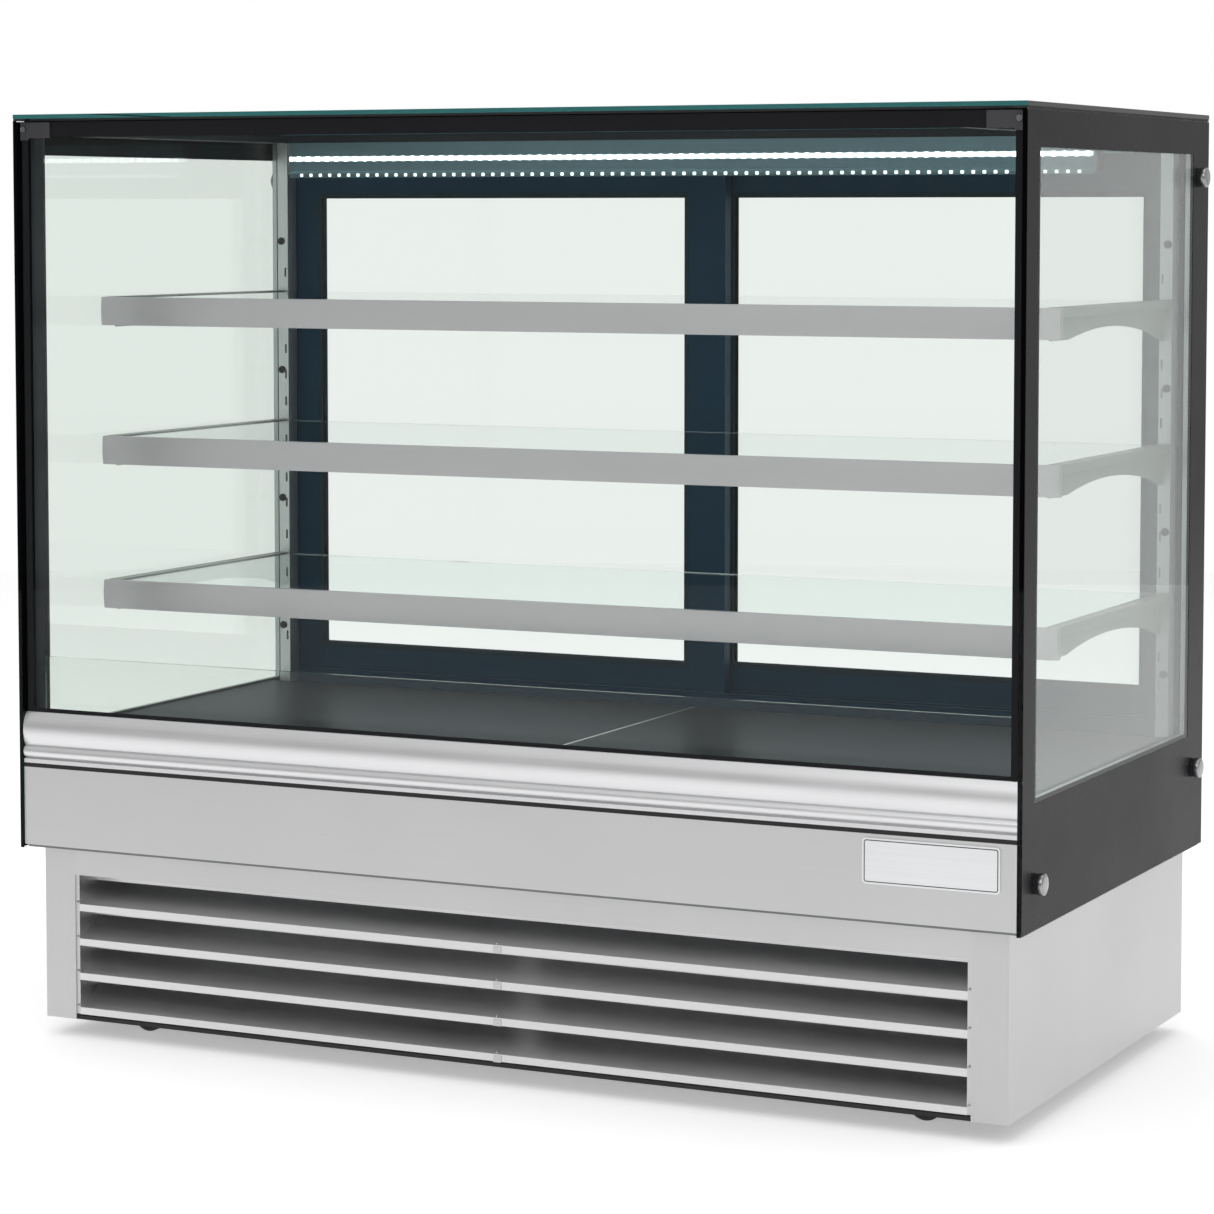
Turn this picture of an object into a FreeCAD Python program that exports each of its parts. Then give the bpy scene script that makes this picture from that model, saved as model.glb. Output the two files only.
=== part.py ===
"""Refrigerated deli case: a louvred base, a lit glass display chamber and two rear sliding doors.

Frame: X is the width (+X is the right end seen from the front), the front faces -Y, +Z is up, and the
origin is on the floor under the middle of the case. All lengths are millimetres.
"""
import FreeCAD
import Part
import math
import os
from types import SimpleNamespace

from FreeCAD import Rotation, Vector
import Sketcher

DRIVING = {
    # overall
    "width": 1500, "depth": 770, "height": 1310, "ground_gap": 26, "base_height": 246,
    # glazing
    "pane": 6, "inner_pane": 5, "pane_gap": 7, "spacer_bar": 9, "top_glass": 6, "top_seal": 3,
    "front_glass": 8, "front_glass_setback": 11, "riser_glass": 5, "riser_rise": 112, "riser_setback": 40,
    "shelf_glass": 8, "door_glass": 16,
    "corner_plate": 3, "corner_plate_length": 49, "corner_plate_height": 22, "corner_plate_ear": 3,
    "screw": 2, "screw_head": 2.5,
    # frame
    "post_width": 12, "post_depth": 30, "rail_height": 22, "rail_depth": 20, "side_rail": 11,
    "rear_post_width": 14.5, "rear_post_depth": 70,
    # lower cabinet
    "fascia_setback": 2, "sheet": 1.5, "fascia_foot": 5, "fascia_height": 111, "seal_height": 6,
    "moulding_height": 72, "moulding_shelf": 34, "well_setback": 12, "well_height": 158,
    "well_wall": 44, "well_floor": 40, "well_front_wall": 60, "well_rear_wall": 108, "deck": 6,
    "deck_gap": 4, "deck_joint": 1.5, "drain_radius": 12, "badge_length": 185, "badge_height": 59,
    "badge_plate": 2,
    "badge_inset": 22, "badge_radius": 5,
    # base
    "base_inset": 24, "base_setback": 26, "base_rear_gap": 10, "return_width": 50, "return_depth": 14,
    "header_height": 38, "louvre_count": 4, "louvre_pitch": 49.5, "louvre_first": 7.5,
    "louvre_lip": 10, "louvre_run": 46, "louvre_rise": 36, "louvre_sheet": 1.2, "grille_strip": 6,
    "vent_foot": 20, "vent_rise": 16, "vent_side_gap": 84.5, "vent_panel_gap": 200, "vent_pitch": 80,
    "vent_length": 60, "vent_height": 6, "grille_clip": 12, "middle_strip": 28,
    "pan_sheet": 2, "pan_rise": 52, "pan_strip": 20, "pan_toe": 8,
    # stand-off caps
    "cap_radius": 14, "cap_height": 8, "cap_washer": 4, "cap_stem": 4,
    "cap_front_inset": 55, "cap_rear_inset": 46, "cap_front_rise": 59, "cap_rear_rise": 115,
    "cap_top_drop": 88,
    # rear doors
    "door_frame": 20, "door_gap": 6, "door_inset": 20, "door_stile": 62, "door_top_rail": 70,
    "door_bottom_rail": 50, "door_overlap": 32, "door_play": 1.5, "track_floor": 12, "track_lip": 13,
    "track_margin": 6, "header_beam": 44, "header_lip": 16, "door_side_gap": 16, "grip_depth": 8,
    "grip_width": 18, "grip_height": 220, "grip_rise": 317.5,
    # uprights and shelves
    "upright_width": 18, "upright_gap": 10, "upright_depth": 26, "slot_inset": 12, "slot_height": 14,
    "slot_depth": 6, "slot_pitch": 40, "hook_drop": 14, "plug_radius": 5.75, "plug_height": 1.5,
    "plug_pitch": 201.5, "plug_rise": 88, "shelf_rise_bottom": 202, "shelf_rise_middle": 210,
    "shelf_rise_top": 202, "shelf_setback": 182,
    "shelf_end_gap": 23, "shelf_rail": 41, "shelf_rail_depth": 12, "bracket": 3, "bracket_drop": 43,
    "bracket_arch": 13, "shelf_lamp": 9, "shelf_lamp_depth": 14,
    # top lamp
    "lamp_gap": 73, "lamp_end_gap": 107, "lamp_width": 26, "lamp_height": 48, "lamp_bar": 12,
    # casters
    "caster_inset": 155, "caster_setback": 110, "wheel_radius": 25, "wheel_width": 20, "wheel_bore": 4,
    "trail": 20, "fork_sheet": 2.5, "fork_gap": 1, "crown": 3, "wheel_clearance": 6, "king_pin": 5,
    "pin_play": 0.08, "boss_radius": 14, "pin_head": 9, "nut_height": 6, "tread": 4,
    # machinery
    "compressor_radius": 72, "compressor_headroom": 40, "compressor_x": 430, "compressor_y": 60,
    "compressor_foot": 14, "compressor_dome": 34, "mount_radius": 9, "relay_box": 52,
    "coil_length": 300, "coil_depth": 66, "coil_headroom": 26, "coil_x": -560, "coil_setback": 120,
    "fan_margin": 13, "fan_hub": 20, "fan_sheet": 1.6, "fan_depth": 22, "fan_play": 4,
    "shroud_depth": 40, "motor_radius": 32,
    "motor_length": 55, "motor_shaft": 4, "pipe": 4, "evaporator_length": 820, "evaporator_depth": 180,
    "evaporator_inset": 120, "evaporator_height": 92, "evaporator_fan": 44, "tray_height": 38,
    "tray_length": 320, "tray_depth": 200,
    "tray_front": 60,
    # rear controls
    "panel_length": 260, "panel_height": 90, "panel_depth": 36, "panel_side_gap": 84.5, "panel_drop": 32,
    "rocker_length": 26, "rocker_height": 20, "rocker_depth": 12, "rocker_pitch": 46, "gland_radius": 11,
    "gland_bore": 5, "gland_barrel": 12, "gland_side_gap": 45,
}

doc = FreeCAD.newDocument("deli_case")
NODES = []


class Size:
    """A length in millimetres together with the sheet rule that gives it."""

    def __init__(self, value, rule):
        self.value = value
        self.rule = rule

    def __add__(self, other):
        return Size(self.value + number(other), f"({self.rule} + {rule(other)})")

    def __radd__(self, other):
        return Size(number(other) + self.value, f"({rule(other)} + {self.rule})")

    def __sub__(self, other):
        return Size(self.value - number(other), f"({self.rule} - {rule(other)})")

    def __rsub__(self, other):
        return Size(number(other) - self.value, f"({rule(other)} - {self.rule})")

    def __mul__(self, other):
        return Size(self.value * number(other), f"({self.rule} * {rule(other)})")

    def __rmul__(self, other):
        return self * other

    def __truediv__(self, other):
        return Size(self.value / number(other), f"({self.rule} / {rule(other)})")

    def __neg__(self):
        return self * -1


def number(item):
    """The plain number of a size or of a number."""
    return item.value if isinstance(item, Size) else float(item)


def rule(item):
    """The expression of a size or of a number."""
    return item.rule if isinstance(item, Size) else f"({float(item)})"


def driving_sizes():
    """The spreadsheet, one row for each driving size, and its cells as sizes."""
    sheet = doc.addObject("Spreadsheet::Sheet", "Sizes")
    for row, (name, value) in enumerate(DRIVING.items(), start=1):
        sheet.set(f"A{row}", name)
        sheet.set(f"B{row}", str(value))
        sheet.setAlias(f"B{row}", name)
    doc.recompute()
    return SimpleNamespace(**{name: Size(float(value), f"Sizes.{name}") for name, value in DRIVING.items()})


d = driving_sizes()

# Planes that several pieces share
HALF = d.width / 2
FRONT = -d.depth / 2
REAR = d.depth / 2
CABINET_Z = d.ground_gap + d.base_height
TOP_GLASS_Z = d.height - d.top_glass
PANE_TOP = TOP_GLASS_Z - d.top_seal
PANE_INNER = HALF - d.pane
GLAZING_INNER = PANE_INNER - d.pane_gap - d.inner_pane
POST_INNER = PANE_INNER - d.post_width
GLASS_FRONT = FRONT + d.front_glass_setback
GLASS_BACK = GLASS_FRONT + d.front_glass
POST_BACK = GLASS_BACK + d.post_depth
FASCIA_Z = CABINET_Z + d.fascia_foot
SEAL_Z = FASCIA_Z + d.fascia_height
MOULDING_Z = SEAL_Z + d.seal_height
MOULDING_TOP = MOULDING_Z + d.moulding_height
WELL_FRONT = FRONT + d.well_setback
WELL_REAR = REAR - d.well_setback
WELL_TOP = CABINET_Z + d.well_height
WELL_FLOOR = CABINET_Z + d.well_floor
DECK_TOP = WELL_TOP + d.deck
DOOR_BACK = REAR - d.door_inset
DOOR_FRONT = DOOR_BACK - 2 * d.door_frame - d.door_gap
UPRIGHT_FRONT = DOOR_FRONT - d.track_margin - d.upright_depth
REAR_POST_INNER = PANE_INNER - d.rear_post_width
REAR_POST_FRONT = REAR - d.rear_post_depth
HEADER_Z = PANE_TOP - d.header_beam
UPRIGHT_OUTER = GLAZING_INNER - d.upright_gap
BASE_OUTER = HALF - d.base_inset
BASE_INNER = BASE_OUTER - d.sheet
BASE_FRONT = FRONT + d.base_setback
BASE_REAR = REAR - d.base_rear_gap
OPENING_HALF = BASE_OUTER - d.return_width
OPENING_TOP = CABINET_Z - d.header_height
LOUVRE_FRONT = BASE_FRONT + d.sheet + 0.5
LOUVRE_BACK = LOUVRE_FRONT + d.louvre_run + d.louvre_sheet
PAN_TOP = d.ground_gap + d.pan_rise + d.pan_sheet
SHELF_FRONT = FRONT + d.shelf_setback
SHELF_HALF = HALF - d.shelf_end_gap
BRACKET_X = UPRIGHT_OUTER - d.slot_inset - d.bracket
SHELF_LOW = DECK_TOP + d.shelf_rise_bottom
SHELF_MIDDLE = SHELF_LOW + d.shelf_rise_middle
SHELF_TOPS = (SHELF_LOW, SHELF_MIDDLE, SHELF_MIDDLE + d.shelf_rise_top)
CROWN_Z = 2 * d.wheel_radius + d.wheel_clearance
LAMP_TOP = PANE_TOP - d.rail_height
COIL_HEIGHT = CABINET_Z - PAN_TOP - d.coil_headroom
FAN_RADIUS = COIL_HEIGHT / 2 - d.fan_margin
COIL_FRONT = FRONT + d.coil_setback
SHELL_HEIGHT = CABINET_Z - PAN_TOP - d.compressor_foot - d.compressor_headroom
PANEL_X = BASE_INNER - d.panel_side_gap - d.panel_length
PANEL_Z = CABINET_Z - d.panel_drop - d.panel_height
SIDES = (("left", -1), ("right", 1))
VENT_ROWS = 8
FIN_SLITS = 24
EVAPORATOR_SLITS = 50


# Small builders ------------------------------------------------------------------------------------

def bind(item, **rules):
    """Bind properties of an object to sizes; a double underscore stands for a dot in the name."""
    for name, size in rules.items():
        item.setExpression(name.replace("__", "."), rule(size))
    return item


def place(item, x, y, z):
    """Bind an object's place."""
    return bind(item, Placement__Base__x=x, Placement__Base__y=y, Placement__Base__z=z)


def node(name, item):
    """Make an object the named sub-part that is written to its own file."""
    item.Label = name
    NODES.append(item)
    return item


def block(name, xs, ys, zs):
    """A box between two planes each way."""
    item = doc.addObject("Part::Box", name)
    bind(item, Length=xs[1] - xs[0], Width=ys[1] - ys[0], Height=zs[1] - zs[0])
    return place(item, xs[0], ys[0], zs[0])


def handed(side, low, high):
    """An X span on the right end, or its mirror image on the left end."""
    return (low, high) if side > 0 else (-high, -low)


AXES = {"x": Vector(1, 0, 0), "y": Vector(0, 1, 0), "z": Vector(0, 0, 1)}


def rod(name, axis, x, y, z, radius, length):
    """A cylinder that starts at a point and runs along +X, +Y or +Z."""
    item = doc.addObject("Part::Cylinder", name)
    item.Placement.Rotation = Rotation(AXES["z"], AXES[axis])
    bind(item, Radius=radius, Height=length)
    return place(item, x, y, z)


def group(name, items):
    """Several solids as one object."""
    item = doc.addObject("Part::Compound", name)
    item.Links = items
    return item


def cut(name, base, tools):
    """A solid with other solids taken away."""
    item = doc.addObject("Part::Cut", name)
    item.Base = base
    item.Tool = tools[0] if len(tools) == 1 else group(name + "_tools", tools)
    return item


def fuse(name, items):
    """Solids that touch, made into one."""
    item = doc.addObject("Part::MultiFuse", name)
    item.Shapes = items
    item.Refine = True
    return item


def origin_plane(body, role):
    """One of a body's own origin planes."""
    return next(plane for plane in body.Origin.OriginFeatures if plane.Role == role)


def constrain_point(sketch, index, end, place_2d):
    """Tie one end of a sketch edge to its two coordinates."""
    for kind, size in zip(("DistanceX", "DistanceY"), place_2d):
        if abs(number(size)) < 1e-9 and not isinstance(size, Size):
            fixed = Sketcher.Constraint("PointOnObject", index, end, -2 if kind == "DistanceX" else -1)
            sketch.addConstraint(fixed)
            continue
        row = sketch.addConstraint(Sketcher.Constraint(kind, index, end, number(size)))
        sketch.setExpression(f"Constraints[{row}]", rule(size))


def outline_sketch(body, plane, points, arcs):
    """A closed outline; arcs maps an edge's number to a point that its arc passes through."""
    sketch = body.newObject("Sketcher::SketchObject", body.Name + "_sketch")
    sketch.AttachmentSupport = [(origin_plane(body, plane), "")]
    sketch.MapMode = "FlatFace"
    flat = [Vector(number(a), number(b), 0) for a, b in points]
    count = len(flat)
    for index in range(count):
        start = flat[index]
        end = flat[(index + 1) % count]
        if index in arcs:
            middle = Vector(number(arcs[index][0]), number(arcs[index][1]), 0)
            sketch.addGeometry(Part.Arc(start, middle, end), False)
        else:
            sketch.addGeometry(Part.LineSegment(start, end), False)
    ends = [edge_ends(sketch, index, flat[index]) for index in range(count)]
    for index in range(count):
        following = (index + 1) % count
        join = Sketcher.Constraint("Coincident", index, ends[index][1], following, ends[following][0])
        sketch.addConstraint(join)
        constrain_point(sketch, index, ends[index][0], points[index])
    for index, middle in arcs.items():
        spot = sketch.addGeometry(Part.Point(Vector(number(middle[0]), number(middle[1]), 0)), True)
        constrain_point(sketch, spot, 1, middle)
        sketch.addConstraint(Sketcher.Constraint("PointOnObject", spot, 1, index))
    return sketch


def edge_ends(sketch, index, start):
    """Which end of a sketch edge is its start: arcs may be stored the other way round."""
    first = sketch.getPoint(index, 1)
    return (1, 2) if (first - start).Length < 1e-6 else (2, 1)


def extrusion(name, plane, points, length, spot, arcs=None):
    """A PartDesign body: an outline on a plane through the body's origin, padded by a length."""
    body = doc.addObject("PartDesign::Body", name)
    sketch = outline_sketch(body, plane, points, arcs or {})
    pad = body.newObject("PartDesign::Pad", name + "_pad")
    pad.Profile = sketch
    bind(pad, Length=length)
    sketch.Visibility = False
    body.Tip = pad
    return place(body, *spot)


def revolved(name, points, spot, arcs=None):
    """A PartDesign body: an outline of (radius, height) points turned round the upright axis."""
    body = doc.addObject("PartDesign::Body", name)
    sketch = outline_sketch(body, "XZ_Plane", points, arcs or {})
    turn = body.newObject("PartDesign::Revolution", name + "_turn")
    turn.Profile = sketch
    turn.ReferenceAxis = (sketch, ["V_Axis"])
    turn.Angle = 360
    body.Tip = turn
    return place(body, *spot)


def run_of_x(name, points, half, arcs=None):
    """An outline of (Y, Z) points that runs along the whole width between -half and +half."""
    return extrusion(name, "YZ_Plane", points, 2 * half, (-half, 0, 0), arcs)


# Glazing -------------------------------------------------------------------------------------------

def cap_places():
    """Where the stand-off caps sit on an end of the case: (Y, Z)."""
    rear = REAR - d.cap_rear_inset
    return ((FRONT + d.cap_front_inset, CABINET_Z + d.cap_front_rise),
            (rear, CABINET_Z + d.cap_rear_rise),
            (rear, d.height - d.cap_top_drop))


def outer_panes():
    """The printed outer pane of each end, drilled for its caps."""
    panes = []
    for word, side in SIDES:
        xs = handed(side, PANE_INNER, HALF)
        sheet = block(word + "_pane_blank", xs, (FRONT, REAR), (CABINET_Z, PANE_TOP))
        holes = [rod(f"{word}_pane_hole_{row}", "x", xs[0], y, z, d.cap_stem, d.pane)
                 for row, (y, z) in enumerate(cap_places())]
        panes.append(cut(word + "_outer_pane", sheet, holes))
    node("outer_panes", group("outer_panes", panes))


def caps_and_washers():
    """Six metal caps on black rubber washers, three on each end."""
    caps = []
    washers = []
    for word, side in SIDES:
        for row, (y, z) in enumerate(cap_places()):
            stack = d.pane + d.cap_washer
            disc = handed(side, HALF + d.cap_washer, HALF + d.cap_washer + d.cap_height)
            stem = handed(side, PANE_INNER, HALF + d.cap_washer)
            ring = handed(side, HALF, HALF + d.cap_washer)
            name = f"{word}_cap_{row}"
            head = rod(name + "_head", "x", disc[0], y, z, d.cap_radius, d.cap_height)
            pin = rod(name + "_stem", "x", stem[0], y, z, d.cap_stem, stack)
            caps.append(fuse(name, [head, pin]))
            rubber = rod(name + "_rubber", "x", ring[0], y, z, d.cap_radius - 1, d.cap_washer)
            bore = rod(name + "_bore", "x", ring[0], y, z, d.cap_stem, d.cap_washer)
            washers.append(cut(name + "_washer", rubber, [bore]))
    node("pane_caps", group("pane_caps", caps))
    node("pane_washers", group("pane_washers", washers))


def inner_panes_and_spacers():
    """The inner pane of each end, held off the outer pane by four perforated spacer bars."""
    low = WELL_TOP
    high = PANE_TOP - d.side_rail
    near = POST_BACK
    far = REAR_POST_FRONT
    bar = d.spacer_bar
    panes = []
    bars = []
    for word, side in SIDES:
        xs = handed(side, GLAZING_INNER, GLAZING_INNER + d.inner_pane)
        gap = handed(side, PANE_INNER - d.pane_gap, PANE_INNER)
        panes.append(block(word + "_inner_sheet", xs, (near, far), (low, high)))
        bars.append(block(word + "_spacer_low", gap, (near, far), (low, low + bar)))
        bars.append(block(word + "_spacer_high", gap, (near, far), (high - bar, high)))
        bars.append(block(word + "_spacer_front", gap, (near, near + bar), (low + bar, high - bar)))
        bars.append(block(word + "_spacer_rear", gap, (far - bar, far), (low + bar, high - bar)))
    node("inner_panes", group("inner_panes", panes))
    node("pane_spacers", group("pane_spacers", bars))


def top_glass():
    """The top sheet over its seal, which runs along the four top edges."""
    node("top_glass", block("top_glass", (-HALF, HALF), (FRONT, REAR), (TOP_GLASS_Z, d.height)))
    level = (PANE_TOP, TOP_GLASS_Z)
    inset = HALF - d.pane - d.post_width
    strips = [block(word + "_seal", handed(side, inset, HALF - 0.5), (FRONT + 0.5, REAR - 0.5), level)
              for word, side in SIDES]
    front = (FRONT + d.front_glass_setback, FRONT + d.front_glass_setback + d.rail_depth + d.front_glass)
    strips.append(block("front_seal", (-inset, inset), front, level))
    strips.append(block("rear_seal", (-inset, inset), (DOOR_FRONT - d.track_margin, REAR - 0.5), level))
    node("top_seal", group("top_seal", strips))


def corner_frame():
    """Black posts at the four corners and black bars under the top glass."""
    posts = []
    for word, side in SIDES:
        xs = handed(side, POST_INNER, PANE_INNER)
        posts.append(block(word + "_front_post", xs, (GLASS_BACK, POST_BACK), (MOULDING_TOP, PANE_TOP)))
        rear_xs = handed(side, REAR_POST_INNER, PANE_INNER)
        posts.append(block(word + "_rear_post", rear_xs, (REAR_POST_FRONT, REAR - 1), (WELL_TOP, PANE_TOP)))
    node("corner_posts", group("corner_posts", posts))
    bars = [block(word + "_top_bar", handed(side, POST_INNER, PANE_INNER), (POST_BACK, REAR_POST_FRONT),
                  (PANE_TOP - d.side_rail, PANE_TOP)) for word, side in SIDES]
    front = (GLASS_BACK, GLASS_BACK + d.rail_depth)
    bars.append(block("front_top_bar", (-POST_INNER, POST_INNER), front,
                      (PANE_TOP - d.rail_height, PANE_TOP)))
    node("top_frame", group("top_frame", bars + lamp_carrier()))


def front_glass():
    """The front sheet, the two screwed corner plates that keep it, and the low riser behind it."""
    half = PANE_INNER - 0.5
    ys = (GLASS_FRONT, GLASS_BACK)
    node("front_glass", block("front_glass", (-half, half), ys, (MOULDING_TOP, PANE_TOP - 1)))
    plates = []
    screws = []
    plate = d.corner_plate
    right = half - 0.5
    left = right - d.corner_plate_length
    top = PANE_TOP - 2
    low = top - d.corner_plate_height
    ear = d.corner_plate_ear
    spot_z = top - 10
    head_y = GLASS_FRONT - plate - d.screw_head
    for word, side in SIDES:
        outline = [(right, top), (left, top), (left, low), (right - 14, low), (right - 14 + ear, low - ear),
                   (right, low - ear)]
        outline = [(side * x, z) for x, z in outline]
        blank = extrusion(word + "_plate_blank", "XZ_Plane", outline, plate, (0, GLASS_FRONT, 0))
        spot_x = side * (right - 5.5)
        hole = rod(word + "_plate_hole", "y", spot_x, GLASS_FRONT - plate, spot_z, d.screw, plate)
        plates.append(cut(word + "_plate", blank, [hole]))
        head = rod(word + "_screw_head", "y", spot_x, head_y, spot_z, 2 * d.screw, d.screw_head)
        slot = block(word + "_screw_slot", (spot_x - 1.3 * d.screw, spot_x + 1.3 * d.screw),
                     (head_y, head_y + 1), (spot_z - 0.5, spot_z + 0.5))
        shank = rod(word + "_screw_shank", "y", spot_x, GLASS_FRONT - plate, spot_z, d.screw, plate)
        screws.append(cut(word + "_screw", fuse(word + "_screw_blank", [head, shank]), [slot]))
    node("corner_plates", group("corner_plates", plates))
    node("corner_screws", group("corner_screws", screws))
    riser = FRONT + d.riser_setback
    half = POST_INNER - 0.5
    node("riser_glass", block("riser_glass", (-half, half), (riser, riser + d.riser_glass),
                              (WELL_TOP, WELL_TOP + d.riser_rise)))


# Lower cabinet -------------------------------------------------------------------------------------

def fascia():
    """The folded stainless fascia, the dark seal over it and the blank badge plate on it."""
    face = FRONT + d.fascia_setback
    back = WELL_FRONT
    low = FASCIA_Z
    high = SEAL_Z
    skin = d.sheet
    outline = [(face, low), (back, low), (back, low + skin), (face + skin, low + skin),
               (face + skin, high - skin), (back, high - skin), (back, high), (face, high)]
    node("fascia_panel", run_of_x("fascia_panel", outline, PANE_INNER))
    node("fascia_seal", block("fascia_seal", (-PANE_INNER, PANE_INNER), (face, back), (high, MOULDING_Z)))
    right = PANE_INNER - d.badge_inset
    left = right - d.badge_length
    top = high - 5
    foot = top - d.badge_height
    bend = d.badge_radius
    near = bend * (1 - math.sqrt(0.5))
    outline = [(left + bend, foot), (right - bend, foot), (right, foot + bend), (right, top - bend),
               (right - bend, top), (left + bend, top), (left, top - bend), (left, foot + bend)]
    arcs = {1: (right - near, foot + near), 3: (right - near, top - near),
            5: (left + near, top - near), 7: (left + near, foot + near)}
    node("badge_plate", extrusion("badge_plate", "XZ_Plane", outline, d.badge_plate, (0, face, 0), arcs))


def bumper_moulding():
    """The aluminium moulding: two rounded bulges and a lip in front, a shelf for the glass behind."""
    top = MOULDING_TOP
    foot = MOULDING_Z
    back = WELL_FRONT
    points = [(FRONT + 9, top), (FRONT + 5, top - 46), (FRONT + 6, top - 47.5), (FRONT + 5, top - 64.5),
              (FRONT + 6, top - 66), (FRONT + 2, top - 66.5), (FRONT + 2, foot), (back, foot),
              (back, WELL_TOP), (FRONT + d.moulding_shelf, WELL_TOP), (FRONT + d.moulding_shelf, top)]
    arcs = {0: (FRONT, top - 26), 2: (FRONT + 0.5, top - 56)}
    node("bumper_moulding", run_of_x("bumper_moulding", points, PANE_INNER, arcs))


def well_and_deck():
    """The foamed well under the deck, and the two lift-out deck panels."""
    outer = block("well_outer", (-PANE_INNER, PANE_INNER), (WELL_FRONT, WELL_REAR), (CABINET_Z, WELL_TOP))
    half = PANE_INNER - d.well_wall
    inside = block("well_inside", (-half, half), (FRONT + d.well_front_wall, REAR - d.well_rear_wall),
                   (WELL_FLOOR, WELL_TOP))
    drain = rod("well_drain", "z", 0, 0, CABINET_Z, d.drain_radius, d.well_floor)
    node("insulated_well", cut("insulated_well", outer, [inside, drain]))
    near = FRONT + d.riser_setback + d.riser_glass
    ys = (near, UPRIGHT_FRONT - d.deck_gap)
    panels = [block(word + "_deck", handed(side, d.deck_joint / 2, GLAZING_INNER - 0.5), ys,
                    (WELL_TOP, DECK_TOP)) for word, side in SIDES]
    node("deck_panels", group("deck_panels", panels))


# Base ----------------------------------------------------------------------------------------------

def base_panels():
    """Folded side panels with front returns, the header over the grille and the vented rear panel."""
    skin = d.sheet
    height = d.base_height
    for word, side in SIDES:
        lip = OPENING_HALF
        outline = [(BASE_OUTER, BASE_FRONT), (BASE_OUTER, BASE_REAR), (BASE_INNER, BASE_REAR),
                   (BASE_INNER, BASE_FRONT + skin), (lip + skin, BASE_FRONT + skin),
                   (lip + skin, BASE_FRONT + d.return_depth), (lip, BASE_FRONT + d.return_depth),
                   (lip, BASE_FRONT)]
        outline = [(side * x, y) for x, y in outline]
        name = f"base_{word}_panel"
        node(name, extrusion(name, "XY_Plane", outline, height, (0, 0, d.ground_gap)))
    low = OPENING_TOP
    deep = BASE_FRONT + d.return_depth
    outline = [(BASE_FRONT, low), (deep, low), (deep, low + skin), (BASE_FRONT + skin, low + skin),
               (BASE_FRONT + skin, CABINET_Z), (BASE_FRONT, CABINET_Z)]
    node("base_header", run_of_x("base_header", outline, OPENING_HALF))
    rear_panel()


def rear_panel():
    """The rear panel of the base, with vent slots and the openings for the controls and the cord."""
    ys = (BASE_REAR - d.sheet, BASE_REAR)
    sheet = block("rear_sheet", (-BASE_INNER, BASE_INNER), ys, (d.ground_gap, CABINET_Z))
    holes = []
    start = d.vent_side_gap - BASE_INNER
    vent_columns = int(number((PANEL_X - d.vent_panel_gap - start) / d.vent_pitch))
    for row in range(VENT_ROWS):
        z = PAN_TOP + d.vent_foot + row * d.vent_rise
        for column in range(vent_columns):
            x = start + column * d.vent_pitch
            holes.append(block(f"vent_{row}_{column}", (x, x + d.vent_length), ys, (z, z + d.vent_height)))
    xs = (PANEL_X, PANEL_X + d.panel_length)
    zs = (PANEL_Z, PANEL_Z + d.panel_height)
    holes.append(block("panel_window", xs, ys, zs))
    gland_x, gland_z = gland_place()
    holes.append(rod("gland_window", "y", gland_x, ys[0], gland_z, d.gland_radius - 3, d.sheet))
    node("base_rear_panel", cut("base_rear_panel", sheet, holes))


def gland_place():
    """Where the supply cord leaves the rear panel: (X, Z)."""
    return PANEL_X + d.panel_length + d.gland_side_gap, PANEL_Z


def louvre_grille():
    """Four folded blades between end strips, with a rear strip and clips at the middle."""
    blades = []
    clips = []
    skin = d.louvre_sheet
    half = OPENING_HALF - d.grille_strip
    for row in range(int(DRIVING["louvre_count"])):
        foot = d.ground_gap + d.louvre_first + row * d.louvre_pitch
        crest = foot + d.louvre_rise
        near = LOUVRE_FRONT
        far = LOUVRE_FRONT + d.louvre_run
        outline = [(near, foot), (near + skin, foot), (far, crest), (far + skin, crest),
                   (far + skin, crest + 6), (far, crest + 6), (far, crest + skin),
                   (near + skin, foot + 1.5 * skin), (near + skin, foot + d.louvre_lip),
                   (near, foot + d.louvre_lip)]
        blades.append(run_of_x(f"blade_{row}", outline, half))
        clips.append(block(f"clip_{row}", (-d.grille_clip / 2, d.grille_clip / 2), (near - 1, near),
                           (foot - 1, foot + d.louvre_lip - 2)))
    node("louvre_blades", group("louvre_blades", blades))
    zs = (d.ground_gap + d.pan_toe, OPENING_TOP)
    strips = [block(word + "_strip", handed(side, half, OPENING_HALF), (LOUVRE_FRONT, LOUVRE_BACK), zs)
              for word, side in SIDES]
    strips.append(block("middle_strip", (-d.middle_strip / 2, d.middle_strip / 2),
                        (LOUVRE_BACK, LOUVRE_BACK + 2), zs))
    node("grille_frame", group("grille_frame", strips + clips))


def caster_places():
    """The four king pins: (name, X, Y). Each wheel trails its pin towards -X."""
    x = HALF - d.caster_inset
    y = REAR - d.caster_setback
    shift = d.trail / 2
    return (("front_left", -x + shift, -y), ("front_right", x + shift, -y),
            ("rear_left", -x + shift, y), ("rear_right", x + shift, y))


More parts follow.
